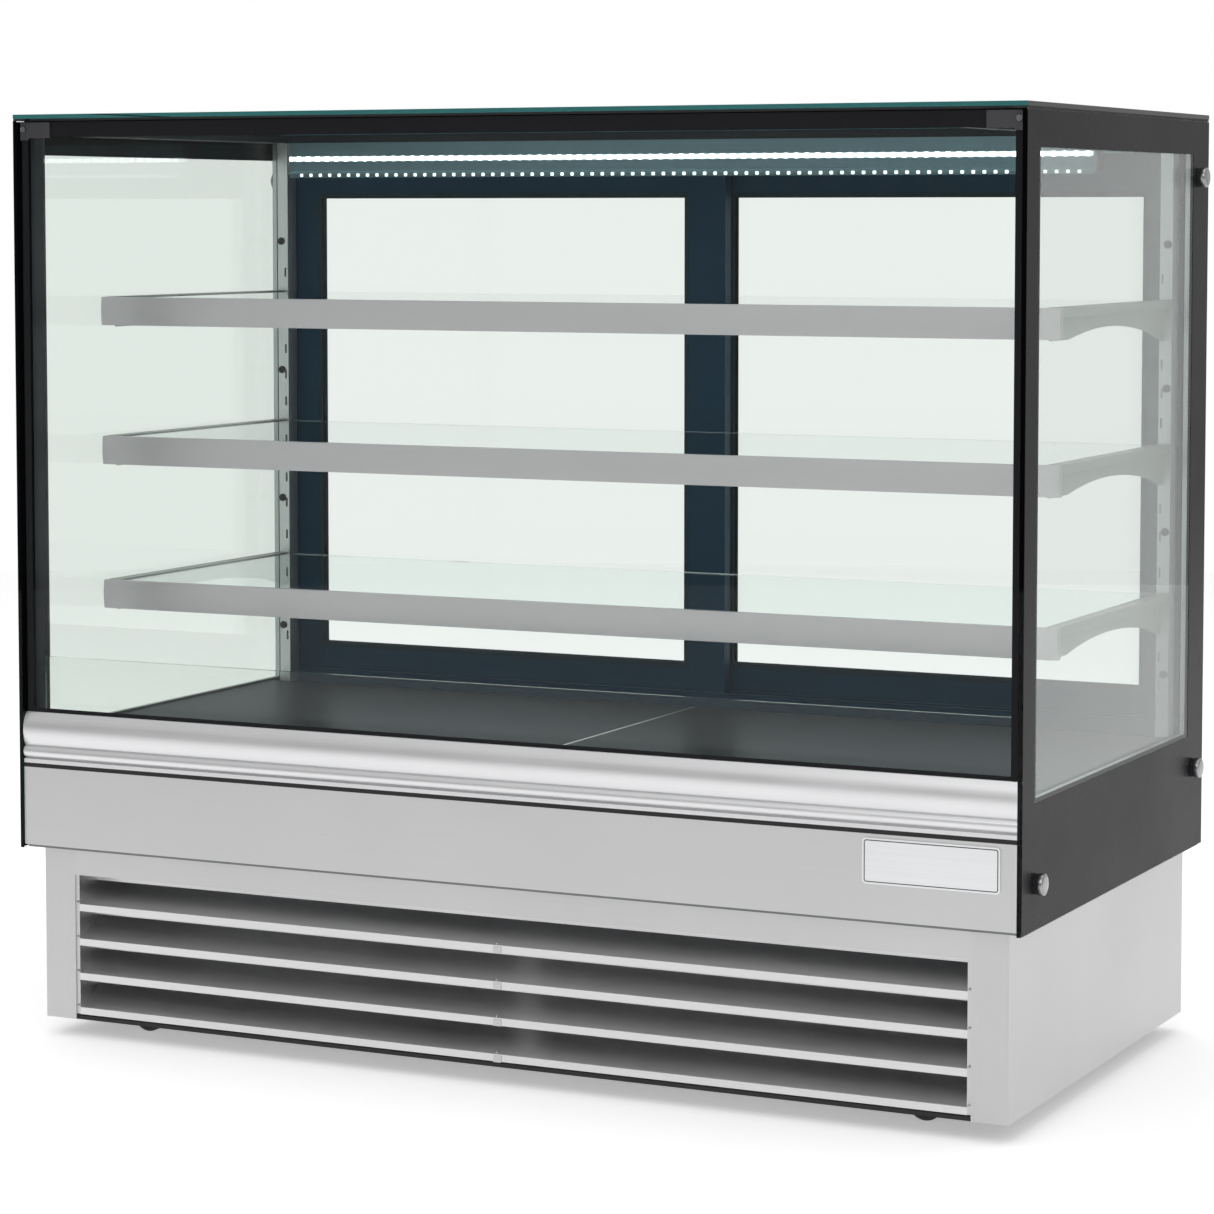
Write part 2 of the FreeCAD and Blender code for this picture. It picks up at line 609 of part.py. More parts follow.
def base_pan():
    """The black pan that carries the machinery, with skirts, a front toe and four caster bosses."""
    skin = d.pan_sheet
    low = d.ground_gap
    near = BASE_FRONT + d.sheet + 0.5
    rear = BASE_REAR - d.sheet
    plate_z = PAN_TOP - skin
    plate_front = LOUVRE_BACK + 4
    toe = near + d.return_depth - 1
    span = (-BASE_INNER, BASE_INNER)
    pieces = [block("pan_plate", span, (plate_front, rear), (plate_z, PAN_TOP)),
              block("pan_rear", span, (rear - skin, rear), (low, PAN_TOP)),
              block("pan_lip", span, (plate_front, plate_front + skin), (plate_z - 10, plate_z)),
              block("pan_toe", span, (toe, toe + d.pan_strip), (low, low + skin)),
              block("pan_kick", (-OPENING_HALF, OPENING_HALF), (near, toe), (low, low + d.pan_toe - 3))]
    for word, side in SIDES:
        xs = handed(side, BASE_INNER - skin, BASE_INNER)
        pieces.append(block(word + "_skirt", xs, (toe, rear), (low, PAN_TOP)))
    bores = []
    crown_top = CROWN_Z + d.crown
    for name, x, y in caster_places():
        boss_foot = crown_top + 0.5
        pieces.append(rod(name + "_boss", "z", x, y, boss_foot, d.boss_radius, plate_z - boss_foot))
        bore = d.king_pin + d.pin_play
        bores.append(rod(name + "_bore", "z", x, y, crown_top, bore, PAN_TOP - crown_top))
    node("base_pan", cut("base_pan", fuse("pan_blank", pieces), bores))


def casters():
    """Four swivel casters: a fork with its king pin and axle, and a wheel."""
    radius = d.wheel_radius
    wide = d.wheel_width
    leg = d.fork_sheet
    inner = wide / 2 + d.fork_gap
    for name, x, y in caster_places():
        axle_x = x - d.trail
        crown_z = CROWN_Z
        crown_top = crown_z + d.crown
        spine = [block(name + "_crown", (axle_x - 10, x + 16), (y - inner - leg, y + inner + leg),
                       (crown_z, crown_top)),
                 rod(name + "_pin", "z", x, y, crown_top, d.king_pin, PAN_TOP + 0.5 - crown_top),
                 rod(name + "_nut", "z", x, y, PAN_TOP + 0.5, d.pin_head, d.nut_height),
                 rod(name + "_axle", "y", axle_x, y - inner - leg - 2, radius, d.wheel_bore - d.pin_play,
                     2 * (inner + leg + 2))]
        for word, side in SIDES:
            face = y + side * (inner + leg / 2)
            outline = [(axle_x - 8, radius - 9), (axle_x + 8, radius - 9), (x + 12, crown_z + 1),
                       (axle_x - 10, crown_z + 1)]
            spine.append(extrusion(f"{name}_{word}_leg", "XZ_Plane", outline, leg, (0, face + leg / 2, 0)))
        node("caster_fork_" + name, fuse("caster_fork_" + name, spine))
        tread = d.tread
        outline = [(d.wheel_bore, -wide / 2), (radius - tread, -wide / 2), (radius, tread - wide / 2),
                   (radius, wide / 2 - tread), (radius - tread, wide / 2), (d.wheel_bore, wide / 2)]
        wheel = revolved("caster_wheel_" + name, outline, (axle_x, y, radius))
        wheel.Placement.Rotation = Rotation(AXES["x"], 90)
        node("caster_wheel_" + name, wheel)


# Rear doors ----------------------------------------------------------------------------------------

def door_planes():
    """Front and back of each door: the left door runs on the inner track, the right on the outer."""
    step = d.door_frame + d.door_gap
    return {"left": (DOOR_FRONT, DOOR_FRONT + d.door_frame),
            "right": (DOOR_FRONT + step, DOOR_FRONT + step + d.door_frame)}


def door_tracks():
    """The lower double channel on the well and the deep header beam whose channels keep the tops."""
    half = REAR_POST_INNER
    ys = (DOOR_FRONT - d.track_margin, DOOR_BACK + d.track_margin)
    floor = WELL_TOP + d.track_floor
    lower = block("lower_track_blank", (-half, half), ys, (WELL_TOP, floor + d.track_lip))
    upper = block("upper_track_blank", (-half, half), ys, (HEADER_Z, PANE_TOP))
    low_cuts = []
    high_cuts = []
    for word, (near, far) in door_planes().items():
        groove = (near - d.door_play, far + d.door_play)
        low_cuts.append(block(word + "_low_groove", (-half, half), groove, (floor, floor + d.track_lip)))
        high_cuts.append(block(word + "_high_groove", (-half, half), groove,
                               (HEADER_Z, HEADER_Z + d.header_lip)))
    tracks = [cut("lower_track", lower, low_cuts), cut("upper_track", upper, high_cuts)]
    node("door_tracks", group("door_tracks", tracks))


def rear_doors():
    """Two framed doors: four frame bars and a sealed glass unit each, with a recessed grip."""
    low = WELL_TOP + d.track_floor + 0.5
    high = HEADER_Z + d.header_lip - 3
    outer = PANE_INNER - d.door_side_gap
    inner = -d.door_overlap
    for word, side in SIDES:
        ys = door_planes()[word]
        stile = d.door_stile
        outer_span = handed(side, outer - stile, outer)
        grip_x = outer - stile / 2 - d.grip_width / 2
        grip_z = low + d.grip_rise
        grip = block(word + "_grip", handed(side, grip_x, grip_x + d.grip_width),
                     (ys[1] - d.grip_depth, ys[1]), (grip_z, grip_z + d.grip_height))
        bar = block(word + "_outer_bar", outer_span, ys, (low, high))
        rails = handed(side, inner + stile, outer - stile)
        bars = [cut(word + "_outer_stile", bar, [grip]),
                block(word + "_inner_stile", handed(side, inner, inner + stile), ys, (low, high)),
                block(word + "_low_rail", rails, ys, (low, low + d.door_bottom_rail)),
                block(word + "_high_rail", rails, ys, (high - d.door_top_rail, high))]
        node(word + "_door_frame", group(word + "_door_frame", bars))
        margin = (d.door_frame - d.door_glass) / 2
        node(word + "_door_glass", block(word + "_door_glass", rails, (ys[0] + margin, ys[1] - margin),
                                         (low + d.door_bottom_rail, high - d.door_top_rail)))


# Shelves, uprights and lamps -------------------------------------------------------------------------

def uprights():
    """Slotted uprights near the rear, with round plugs in their faces."""
    posts = []
    plugs = []
    near = UPRIGHT_FRONT
    ys = (near, near + d.upright_depth)
    zs = (WELL_TOP, PANE_TOP - d.side_rail)
    for word, side in SIDES:
        xs = handed(side, UPRIGHT_OUTER - d.upright_width, UPRIGHT_OUTER)
        middle = side * (UPRIGHT_OUTER - d.upright_width / 2)
        slot_x = handed(side, BRACKET_X - 0.2, BRACKET_X + d.bracket + 0.2)
        feet = [top - d.bracket_drop - d.hook_drop + step * d.slot_pitch
                for top in SHELF_TOPS for step in (-2, -1, 0, 1, 2)]
        slots = [block(f"{word}_slot_{row}", slot_x, (near, near + d.slot_depth),
                       (foot, foot + d.slot_height)) for row, foot in enumerate(feet)]
        posts.append(cut(word + "_upright", block(word + "_upright_blank", xs, ys, zs), slots))
        plug_x = middle + side * 2.5
        for row in range(4):
            plug_z = DECK_TOP + d.plug_rise + row * d.plug_pitch
            plugs.append(rod(f"{word}_plug_{row}", "y", plug_x, near - d.plug_height, plug_z,
                             d.plug_radius, d.plug_height))
    node("uprights", group("uprights", posts))
    node("upright_plugs", group("upright_plugs", plugs))


def shelves():
    """Three shelves: glass, a convex front rail, an LED strip under it and an arched bracket each end."""
    sheets = []
    rails = []
    brackets = []
    lamps = []
    back = UPRIGHT_FRONT
    for row, top in enumerate(SHELF_TOPS):
        face = SHELF_FRONT
        deep = face + d.shelf_rail_depth
        seat = top - d.shelf_glass
        outline = [(face + 2, top + 1), (face + 2, top + 1 - d.shelf_rail), (deep, top + 1 - d.shelf_rail),
                   (deep, top + 1)]
        rails.append(run_of_x(f"shelf_rail_{row}", outline, SHELF_HALF - 1,
                              {0: (face, top + 1 - d.shelf_rail / 2)}))
        sheet_half = SHELF_HALF - 4
        sheets.append(block(f"shelf_sheet_{row}", (-sheet_half, sheet_half), (deep, back - 2), (seat, top)))
        lamp_y = (deep, deep + d.shelf_lamp_depth)
        lamps.append(block(f"shelf_lamp_{row}", (-SHELF_HALF + 30, SHELF_HALF - 30), lamp_y,
                           (seat - d.shelf_lamp, seat)))
        for word, side in SIDES:
            foot = top + 1 - d.bracket_drop
            span = back - deep
            hook = back + d.slot_depth - 2
            low = foot - d.hook_drop
            points = [(deep, foot), (deep + 70, foot), (back - 70, foot), (back - 12, low), (hook, low),
                      (hook, foot - 2), (back, foot - 2), (back, seat), (deep, seat)]
            xs = handed(side, BRACKET_X, BRACKET_X + d.bracket)
            brackets.append(extrusion(f"{word}_bracket_{row}", "YZ_Plane", points, d.bracket, (xs[0], 0, 0),
                                      {1: (deep + span / 2, foot + d.bracket_arch)}))
    node("shelf_glasses", group("shelf_glasses", sheets))
    node("shelf_rails", group("shelf_rails", rails))
    node("shelf_brackets", group("shelf_brackets", brackets))
    node("shelf_lamps", group("shelf_lamps", lamps))


def lamp_span():
    """The top lamp's front and back planes."""
    back = UPRIGHT_FRONT - d.lamp_gap
    return back - d.lamp_width, back


def lamp_carrier():
    """A cross channel for the top lamp, hung on two bars that run from the front bar to the header."""
    ys = lamp_span()
    half = HALF - d.lamp_end_gap
    zs = (LAMP_TOP, LAMP_TOP + d.lamp_bar)
    bar_ys = (GLASS_BACK + d.rail_depth, DOOR_FRONT - d.track_margin)
    bars = [block(word + "_lamp_bar", handed(side, half, half + d.lamp_bar), bar_ys, zs)
            for word, side in SIDES]
    return [block("lamp_channel", (-half, half), ys, zs)] + bars


def top_lamp():
    """The light strip under its cross channel."""
    half = HALF - d.lamp_end_gap
    node("top_lamp", block("top_lamp", (-half, half), lamp_span(), (LAMP_TOP - d.lamp_height, LAMP_TOP)))


# Machinery -----------------------------------------------------------------------------------------

def fan_blades(name, hub_place, radius, hub, count):
    """A hub along Y with pitched blades round it."""
    x, y, z = hub_place
    depth = d.fan_depth
    shaft = d.motor_shaft + d.pin_play
    barrel = rod(name + "_barrel", "y", x, y, z, hub, depth)
    blades = []
    for index in range(count):
        blade = doc.addObject("Part::Box", f"{name}_blade_{index}")
        bind(blade, Length=radius - hub + 3, Width=d.fan_sheet, Height=hub * 1.2)
        turn = Rotation(AXES["y"], 360 / count * index) * Rotation(AXES["x"], 38)
        blade.Placement.Rotation = turn
        start = turn.multVec(Vector(number(hub) - 3, -number(d.fan_sheet) / 2, -number(hub) * 0.6))
        place(blade, x + start.x, y + depth / 2 + start.y, z + start.z)
        blades.append(blade)
    bore = rod(name + "_bore", "y", x, y, z, shaft, depth)
    return node(name, cut(name, fuse(name + "_blank", [barrel] + blades), [bore]))


def condensing_unit():
    """Condenser coil behind the louvres, its fan, shroud and motor, and the compressor."""
    x = (d.coil_x, d.coil_x + d.coil_length)
    y = (COIL_FRONT, COIL_FRONT + d.coil_depth)
    z = (PAN_TOP, PAN_TOP + COIL_HEIGHT)
    fins = block("condenser_fins", x, y, z)
    slits = [block(f"condenser_slit_{row}", (x[0] + 8 + row * 12, x[0] + 14 + row * 12), (y[0], y[0] + 4),
                   (z[0] + 8, z[1] - 8)) for row in range(FIN_SLITS)]
    node("condenser_coil", cut("condenser_coil", fins, slits))
    middle = (x[0] + d.coil_length / 2, PAN_TOP + COIL_HEIGHT / 2)
    shroud_y = (y[1], y[1] + d.shroud_depth)
    wall = 2
    shell = block("shroud_blank", x, shroud_y, z)
    hollow = block("shroud_hollow", (x[0] + wall, x[1] - wall), (shroud_y[0], shroud_y[1] - wall),
                   (z[0] + wall, z[1] - wall))
    mouth = rod("shroud_mouth", "y", middle[0], shroud_y[0], middle[1], FAN_RADIUS + d.fan_play,
                d.shroud_depth)
    node("condenser_fan_shroud", cut("condenser_fan_shroud", shell, [hollow, mouth]))
    fan_y = shroud_y[0] + 12
    fan_blades("condenser_fan_blade", (middle[0], fan_y, middle[1]), FAN_RADIUS, d.fan_hub, 5)
    motor_y = fan_y + d.fan_depth + 8
    can = rod("motor_can", "y", middle[0], motor_y, middle[1], d.motor_radius, d.motor_length)
    shaft = rod("motor_axle", "y", middle[0], fan_y, middle[1], d.motor_shaft, motor_y - fan_y)
    foot = block("motor_foot", (middle[0] - 20, middle[0] + 20), (motor_y + 20, motor_y + 40),
                 (PAN_TOP, middle[1] - d.motor_radius + 4))
    node("condenser_fan_motor", fuse("condenser_fan_motor", [can, shaft, foot]))
    compressor()


def compressor():
    """A sealed compressor: a domed shell on a foot plate with four rubber mounts."""
    radius = d.compressor_radius
    foot = d.compressor_foot
    height = SHELL_HEIGHT
    dome = d.compressor_dome
    points = [(0, 0), (radius - 14, 0), (radius, 14), (radius, height - dome), (radius * 0.55, height - 6),
              (0, height)]
    arcs = {3: (radius * 0.87, height - 14)}
    shell = revolved("compressor_shell", points, (d.compressor_x, d.compressor_y, PAN_TOP + foot), arcs)
    z = (PAN_TOP + foot - 4, PAN_TOP + foot + 1)
    reach = radius + 18
    plate = block("compressor_plate", (d.compressor_x - reach, d.compressor_x + reach),
                  (d.compressor_y - 55, d.compressor_y + 55), z)
    pieces = [shell, plate]
    for word, side in SIDES:
        mount_x = d.compressor_x + side * (reach - 12)
        for end in (-1, 1):
            mount_y = d.compressor_y + end * 43
            name = f"compressor_mount_{word}_{end + 1}"
            pieces.append(rod(name, "z", mount_x, mount_y, PAN_TOP, d.mount_radius, foot))
    box_x = d.compressor_x + radius
    relay = d.relay_box
    pieces.append(block("compressor_relay", (box_x - 8, box_x + 22),
                        (d.compressor_y - relay / 2, d.compressor_y + relay / 2),
                        (PAN_TOP + 50, PAN_TOP + 54 + relay)))
    node("compressor", fuse("compressor", pieces))


def pipe_solid(points, radius, bend):
    """A round pipe along straight runs joined by tangent arcs."""
    edges = []
    start = points[0]
    for before, corner, after in zip(points, points[1:], points[2:]):
        toward = (before - corner).normalize()
        away = (after - corner).normalize()
        entry = corner + toward * bend
        leave = corner + away * bend
        middle = corner + (toward + away) * (bend * (1 - math.sqrt(0.5)))
        edges.append(Part.LineSegment(start, entry).toShape())
        edges.append(Part.Arc(entry, middle, leave).toShape())
        start = leave
    edges.append(Part.LineSegment(start, points[-1]).toShape())
    path = Part.Wire(edges)
    ring = Part.Wire(Part.Circle(points[0], points[1] - points[0], radius).toShape())
    return path.makePipeShell([ring], True, False)


def refrigerant_pipes():
    """Copper pipes: compressor to condenser, condenser to evaporator and the suction line back."""
    low = number(PAN_TOP) + 36
    shoulder = number(PAN_TOP + d.compressor_foot + SHELL_HEIGHT - d.compressor_dome)
    shell_x = number(d.compressor_x - d.compressor_radius)
    mid_y = number(d.compressor_y)
    coil_x = number(d.coil_x + d.coil_length)
    coil_y = number(COIL_FRONT + d.coil_depth / 2)
    under = number(CABINET_Z)
    hot = shoulder - 28
    cold = shoulder - 8
    hot_y = mid_y + 20
    cold_y = mid_y - 20
    routes = (
        (Vector(shell_x + 1, hot_y, hot), Vector(150, hot_y, hot), Vector(150, coil_y, hot),
         Vector(coil_x, coil_y, hot)),
        (Vector(coil_x, coil_y, low), Vector(60, coil_y, low), Vector(60, -60, low),
         Vector(60, -60, under)),
        (Vector(shell_x + 1, cold_y, cold), Vector(110, cold_y, cold), Vector(110, cold_y, under)),
    )
    radius = number(d.pipe)
    item = doc.addObject("Part::Feature", "refrigerant_pipes")
    item.Shape = Part.Compound([pipe_solid(route, radius, 6 * radius) for route in routes])
    node("refrigerant_pipes", item)


def evaporator():
    """The evaporator block in the well with its fan, and the condensate tray under the drain."""
    half = d.evaporator_length / 2
    near = FRONT + d.well_front_wall + d.evaporator_inset
    y = (near, near + d.evaporator_depth)
    z = (WELL_FLOOR, WELL_FLOOR + d.evaporator_height)
    fins = block("evaporator_fins", (-half, half), y, z)
    slits = []
    for row in range(EVAPORATOR_SLITS):
        start = 10 + row * 16 - half
        slits.append(block(f"evaporator_slit_{row}", (start, start + 8), (y[0], y[0] + 5),
                           (z[0] + 8, z[1] - 8)))
    node("evaporator_coil", cut("evaporator_coil", fins, slits))
    case_y = (y[1] + 4, y[1] + 4 + d.shroud_depth)
    fan = d.evaporator_fan
    middle_z = WELL_FLOOR + fan + d.fan_play + 2
    case = block("fan_case", (-fan - 16, fan + 16), case_y, (WELL_FLOOR, middle_z + fan + d.fan_play + 2))
    mouth = rod("fan_mouth", "y", 0, case_y[0], middle_z, fan + d.fan_play, d.shroud_depth - 6)
    vents = [rod(f"fan_vent_{row}", "y", math.cos(turn) * fan * 0.68, case_y[1] - 6,
                 middle_z + math.sin(turn) * fan * 0.68, fan * 0.24, 6)
             for row, turn in enumerate(math.tau * index / 8 for index in range(8))]
    axle = rod("fan_axle", "y", 0, case_y[0] + 6, middle_z, d.motor_shaft, d.shroud_depth - 12)
    housing = cut("fan_case_cut", case, [mouth] + vents)
    node("evaporator_fan_housing", fuse("evaporator_fan_housing", [housing, axle]))
    fan_blades("evaporator_fan_blade", (0, case_y[0] + 6, middle_z), fan, d.fan_hub * 0.6, 5)
    tray_y = (-d.tray_front, d.tray_depth - d.tray_front)
    tray_x = (-d.tray_length / 2, d.tray_length / 2)
    outer = block("tray_outer", tray_x, tray_y, (PAN_TOP, PAN_TOP + d.tray_height))
    inner = block("tray_inner", (tray_x[0] + 2, tray_x[1] - 2), (tray_y[0] + 2, tray_y[1] - 2),
                  (PAN_TOP + 2, PAN_TOP + d.tray_height))
    node("condensate_tray", cut("condensate_tray", outer, [inner]))


def rear_controls():
    """The recessed control panel, its two rocker switches and the gland for the supply cord."""
    x = (PANEL_X, PANEL_X + d.panel_length)
    y = (BASE_REAR - d.panel_depth, BASE_REAR)
    z = (PANEL_Z, PANEL_Z + d.panel_height)
    middle_z = PANEL_Z + d.panel_height / 2
    wells = []
    rockers = []
    play = 0.8
    for index, word in enumerate(("power", "lamp")):
        left = PANEL_X + 20 + index * d.rocker_pitch
        rocker_z = (middle_z - d.rocker_height / 2, middle_z + d.rocker_height / 2)
        wells.append(block(word + "_well", (left - play, left + d.rocker_length + play), (y[1] - 20, y[1]),
                           (rocker_z[0] - 3, rocker_z[1] + 3)))
        crown = y[1] - 2
        seat = crown - d.rocker_depth
        outline = [(seat, rocker_z[0] + 4), (crown, rocker_z[0]), (crown - 2.5, middle_z),
                   (crown, rocker_z[1]), (seat, rocker_z[1] - 4)]
        name = word + "_switch"
        rockers.append((name, extrusion(name, "YZ_Plane", outline, d.rocker_length, (left, 0, 0))))
    screen = block("panel_screen", (x[1] - 116, x[1] - 26), (y[1] - 3, y[1]), (z[0] + 24, z[1] - 24))
    node("control_panel", cut("control_panel", block("panel_blank", x, y, z), wells + [screen]))
    for name, item in rockers:
        node(name, item)
    gland_x, gland_z = gland_place()
    start = BASE_REAR - d.gland_barrel
    flange_depth = d.base_rear_gap - 2
    barrel = rod("gland_barrel", "y", gland_x, start, gland_z, d.gland_radius - 3, d.gland_barrel)
    flange = rod("gland_flange", "y", gland_x, BASE_REAR, gland_z, d.gland_radius, flange_depth)
    bore = rod("gland_bore", "y", gland_x, start, gland_z, d.gland_bore, d.gland_barrel + flange_depth)
    node("cord_gland", cut("cord_gland", fuse("gland_blank", [barrel, flange]), [bore]))


# Build, check and write ------------------------------------------------------------------------------

def build():
    """Make every sub-part of the case."""
    outer_panes()
    caps_and_washers()
    inner_panes_and_spacers()
    top_glass()
    corner_frame()
    front_glass()
    fascia()
    bumper_moulding()
    well_and_deck()
    base_panels()
    louvre_grille()
    base_pan()
    casters()
    door_tracks()
    rear_doors()
    uprights()
    shelves()
    top_lamp()
    condensing_unit()
    refrigerant_pipes()
    evaporator()
    rear_controls()
    doc.recompute()


def check():
    """Stop if any object failed or any sub-part has no valid shape."""
    failed = [item.Name for item in doc.Objects if "Invalid" in item.State or "Error" in item.State]
    if failed:
        raise RuntimeError("failed objects: " + ", ".join(failed))
    for item in NODES:
        if item.Shape.isNull() or not item.Shape.isValid() or not item.Shape.Solids:
            raise RuntimeError("no valid solid: " + item.Label)


def write():
    """Write each sub-part to its own file."""
    os.makedirs("parts", exist_ok=True)
    for item in NODES:
        item.Shape.exportStep(f"parts/{item.Label}.step")
    print(len(NODES), "sub-parts written")


build()
check()
write()
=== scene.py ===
"""Looks of a refrigerated deli case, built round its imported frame: glass, steel, lamps, doors and casters."""
import math

import bpy
from bpy.props import FloatProperty, FloatVectorProperty, IntProperty, PointerProperty
from mathutils import Matrix, Vector


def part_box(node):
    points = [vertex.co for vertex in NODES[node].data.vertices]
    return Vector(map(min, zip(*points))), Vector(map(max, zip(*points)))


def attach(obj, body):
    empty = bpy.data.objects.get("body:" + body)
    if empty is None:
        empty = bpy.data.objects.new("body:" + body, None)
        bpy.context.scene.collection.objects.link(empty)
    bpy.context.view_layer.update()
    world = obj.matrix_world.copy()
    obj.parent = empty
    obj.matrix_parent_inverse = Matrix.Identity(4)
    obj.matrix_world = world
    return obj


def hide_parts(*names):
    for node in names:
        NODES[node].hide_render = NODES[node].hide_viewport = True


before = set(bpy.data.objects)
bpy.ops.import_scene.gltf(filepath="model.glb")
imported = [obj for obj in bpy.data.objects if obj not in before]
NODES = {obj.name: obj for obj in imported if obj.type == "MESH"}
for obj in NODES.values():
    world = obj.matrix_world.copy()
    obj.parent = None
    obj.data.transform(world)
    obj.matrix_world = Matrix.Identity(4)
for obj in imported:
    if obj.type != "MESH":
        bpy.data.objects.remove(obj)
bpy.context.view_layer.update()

bl_info = {
    "name": "Deli case looks",
    "version": (1, 0, 0),
    "blender": (4, 5, 0),
    "location": "3D View > Sidebar > Deli case",
    "description": "Builds the finishes and fine pieces of a refrigerated deli case round its frame",
    "category": "Object",
}

MM = 0.001
FACING = 0.9  # how squarely a face has to look along an axis to be picked
DOOR_FOOT = 0.8  # height that parts the upper door track from the lower one
CASTERS = ("front_left", "front_right", "rear_left", "rear_right")


def low(node):
    """Lowest corner of a frame node."""
    return Vector(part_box(node)[0])


def high(node):
    """Highest corner of a frame node."""
    return Vector(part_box(node)[1])


def corners(node):
    """Lowest and highest corner of a frame node."""
    return low(node), high(node)


# Node trees ------------

class Tree:
    """A small helper round a node tree, so that a material reads as a list of steps."""

    def __init__(self, tree):
        self.tree = tree

    def add(self, kind, **values):
        """A node, with its plain attributes set."""
        node = self.tree.nodes.new(kind)
        for name, value in values.items():
            setattr(node, name, value)
        return node

    def link(self, output, socket):
        """Join two sockets."""
        self.tree.links.new(output, socket)

    def feed(self, socket, value):
        """Link an output, or set a plain value."""
        if isinstance(value, bpy.types.NodeSocket):
            self.link(value, socket)
        elif value is not None:
            socket.default_value = value

    def math(self, operation, first, second=None, third=None):
        """A Math node's result."""
        node = self.add("ShaderNodeMath", operation=operation)
        for socket, value in zip(node.inputs, (first, second, third)):
            self.feed(socket, value)
        return node.outputs[0]

    def mix(self, factor, first, second):
        """A colour mix."""
        node = self.add("ShaderNodeMix", data_type="RGBA")
        self.feed(node.inputs[0], factor)
        self.feed(node.inputs[6], first)
        self.feed(node.inputs[7], second)
        return node.outputs[2]

    def split(self, kind, output):
        """A vector output of a new node, split in X, Y and Z."""
        parts = self.add("ShaderNodeSeparateXYZ")
        self.link(self.add(kind).outputs[output], parts.inputs[0])
        return parts.outputs

    def place(self):
        """Object coordinates split in X, Y and Z."""
        return self.split("ShaderNodeTexCoord", "Object")

    def normal(self):
        """The face's direction split in X, Y and Z."""
        return self.split("ShaderNodeNewGeometry", "Normal")

    def blend(self, mask, first, second, end_kind):
        """Send a mix of two shaders to the tree's output node; end_kind is that node's type."""
        mixed = self.add("ShaderNodeMixShader")
        for socket, value in zip(mixed.inputs, (mask, first, second)):
            self.link(value, socket)
        end = next(node for node in self.tree.nodes if node.type == end_kind)
        self.link(mixed.outputs[0], end.inputs[0])

    def range(self, value, low_in, high_in, low_out, high_out):
        """A Map Range node's result, clamped."""
        node = self.add("ShaderNodeMapRange")
        for socket, item in zip(node.inputs, (value, low_in, high_in, low_out, high_out)):
            self.feed(socket, item)
        return node.outputs[0]

    def group(self, name, **values):
        """One of the shared groups, with its own values."""
        node = self.add("ShaderNodeGroup")
        node.node_tree = bpy.data.node_groups[name]
        for key, value in values.items():
            self.feed(node.inputs[key.replace("_", " ")], value)
        return node.outputs


def new_group(name, inputs, result):
    """An empty shader group with number inputs and one named number output."""
    group = bpy.data.node_groups.new(name, "ShaderNodeTree")
    for label, value in inputs:
        socket = group.interface.new_socket(name=label, in_out="INPUT", socket_type="NodeSocketFloat")
        socket.default_value = value
    group.interface.new_socket(name=result, in_out="OUTPUT", socket_type="NodeSocketFloat")
    tree = Tree(group)
    return tree, tree.add("NodeGroupInput").outputs, tree.add("NodeGroupOutput").inputs


def noise(tree, scale_xyz, detail=3.0, roughness=0.55):
    """Noise on Object coordinates stretched by a scale for each axis."""
    coordinates = tree.add("ShaderNodeTexCoord")
    mapping = tree.add("ShaderNodeMapping")
    tree.link(coordinates.outputs["Object"], mapping.inputs["Vector"])
    joined = tree.add("ShaderNodeCombineXYZ")
    for socket, value in zip(joined.inputs, scale_xyz):
        tree.feed(socket, value)
    tree.link(joined.outputs[0], mapping.inputs["Scale"])
    cloud = tree.add("ShaderNodeTexNoise")
    cloud.inputs["Scale"].default_value = 1.0
    cloud.inputs["Detail"].default_value = detail
    cloud.inputs["Roughness"].default_value = roughness
    tree.link(mapping.outputs[0], cloud.inputs["Vector"])
    return cloud.outputs["Fac"]


def make_groups():
    """Brushed grain, soft marks and settled dust, which several finishes share."""
    tree, inputs, outputs = new_group(
        "brushed_grain", [("Along X", 3.0), ("Along Y", 700.0), ("Along Z", 700.0)], "Grain")
    fine = noise(tree, inputs[0:3], 4.0, 0.7)
    tree.link(tree.range(fine, 0.25, 0.75, 0.0, 1.0), outputs[0])
    tree, inputs, outputs = new_group("soft_marks", [("Size", 4.0), ("Amount", 1.0)], "Marks")
    broad = noise(tree, (inputs[0],) * 3, 5.0, 0.6)
    spread = tree.range(broad, 0.35, 0.7, 0.0, 1.0)
    tree.link(tree.math("MULTIPLY", spread, inputs[1]), outputs[0])
    tree, inputs, outputs = new_group("settled_dust", [("Amount", 0.1)], "Dust")
    upward = tree.range(tree.normal()[2], 0.6, 1.0, 0.0, 1.0)
    cloud = noise(tree, (14.0, 14.0, 14.0), 6.0, 0.7)
    tree.link(tree.math("MULTIPLY", tree.math("MULTIPLY", upward, cloud), inputs[0]), outputs[0])
    tree, inputs, outputs = new_group("moulded_skin", [("Size", 900.0)], "Height")
    tree.link(noise(tree, (inputs[0],) * 3, 2.0, 0.5), outputs[0])


def new_material(name):
    """A material with a Principled shader: (material, tree, shader)."""
    material = bpy.data.materials.new(name)
    material.use_nodes = True
    tree = Tree(material.node_tree)
    shader = next(node for node in material.node_tree.nodes if node.type == "BSDF_PRINCIPLED")
    return material, tree, shader


def set_shader(tree, shader, **values):
    """Set or link the Principled shader's sockets."""
    for key, value in values.items():
        tree.feed(shader.inputs[key.replace("_", " ")], value)


def bump(tree, shader, height, distance, strength=0.3):
    """A fine relief from a height."""
    node = tree.add("ShaderNodeBump")
    node.inputs["Strength"].default_value = strength
    node.inputs["Distance"].default_value = distance
    tree.link(height, node.inputs["Height"])
    tree.link(node.outputs[0], shader.inputs["Normal"])


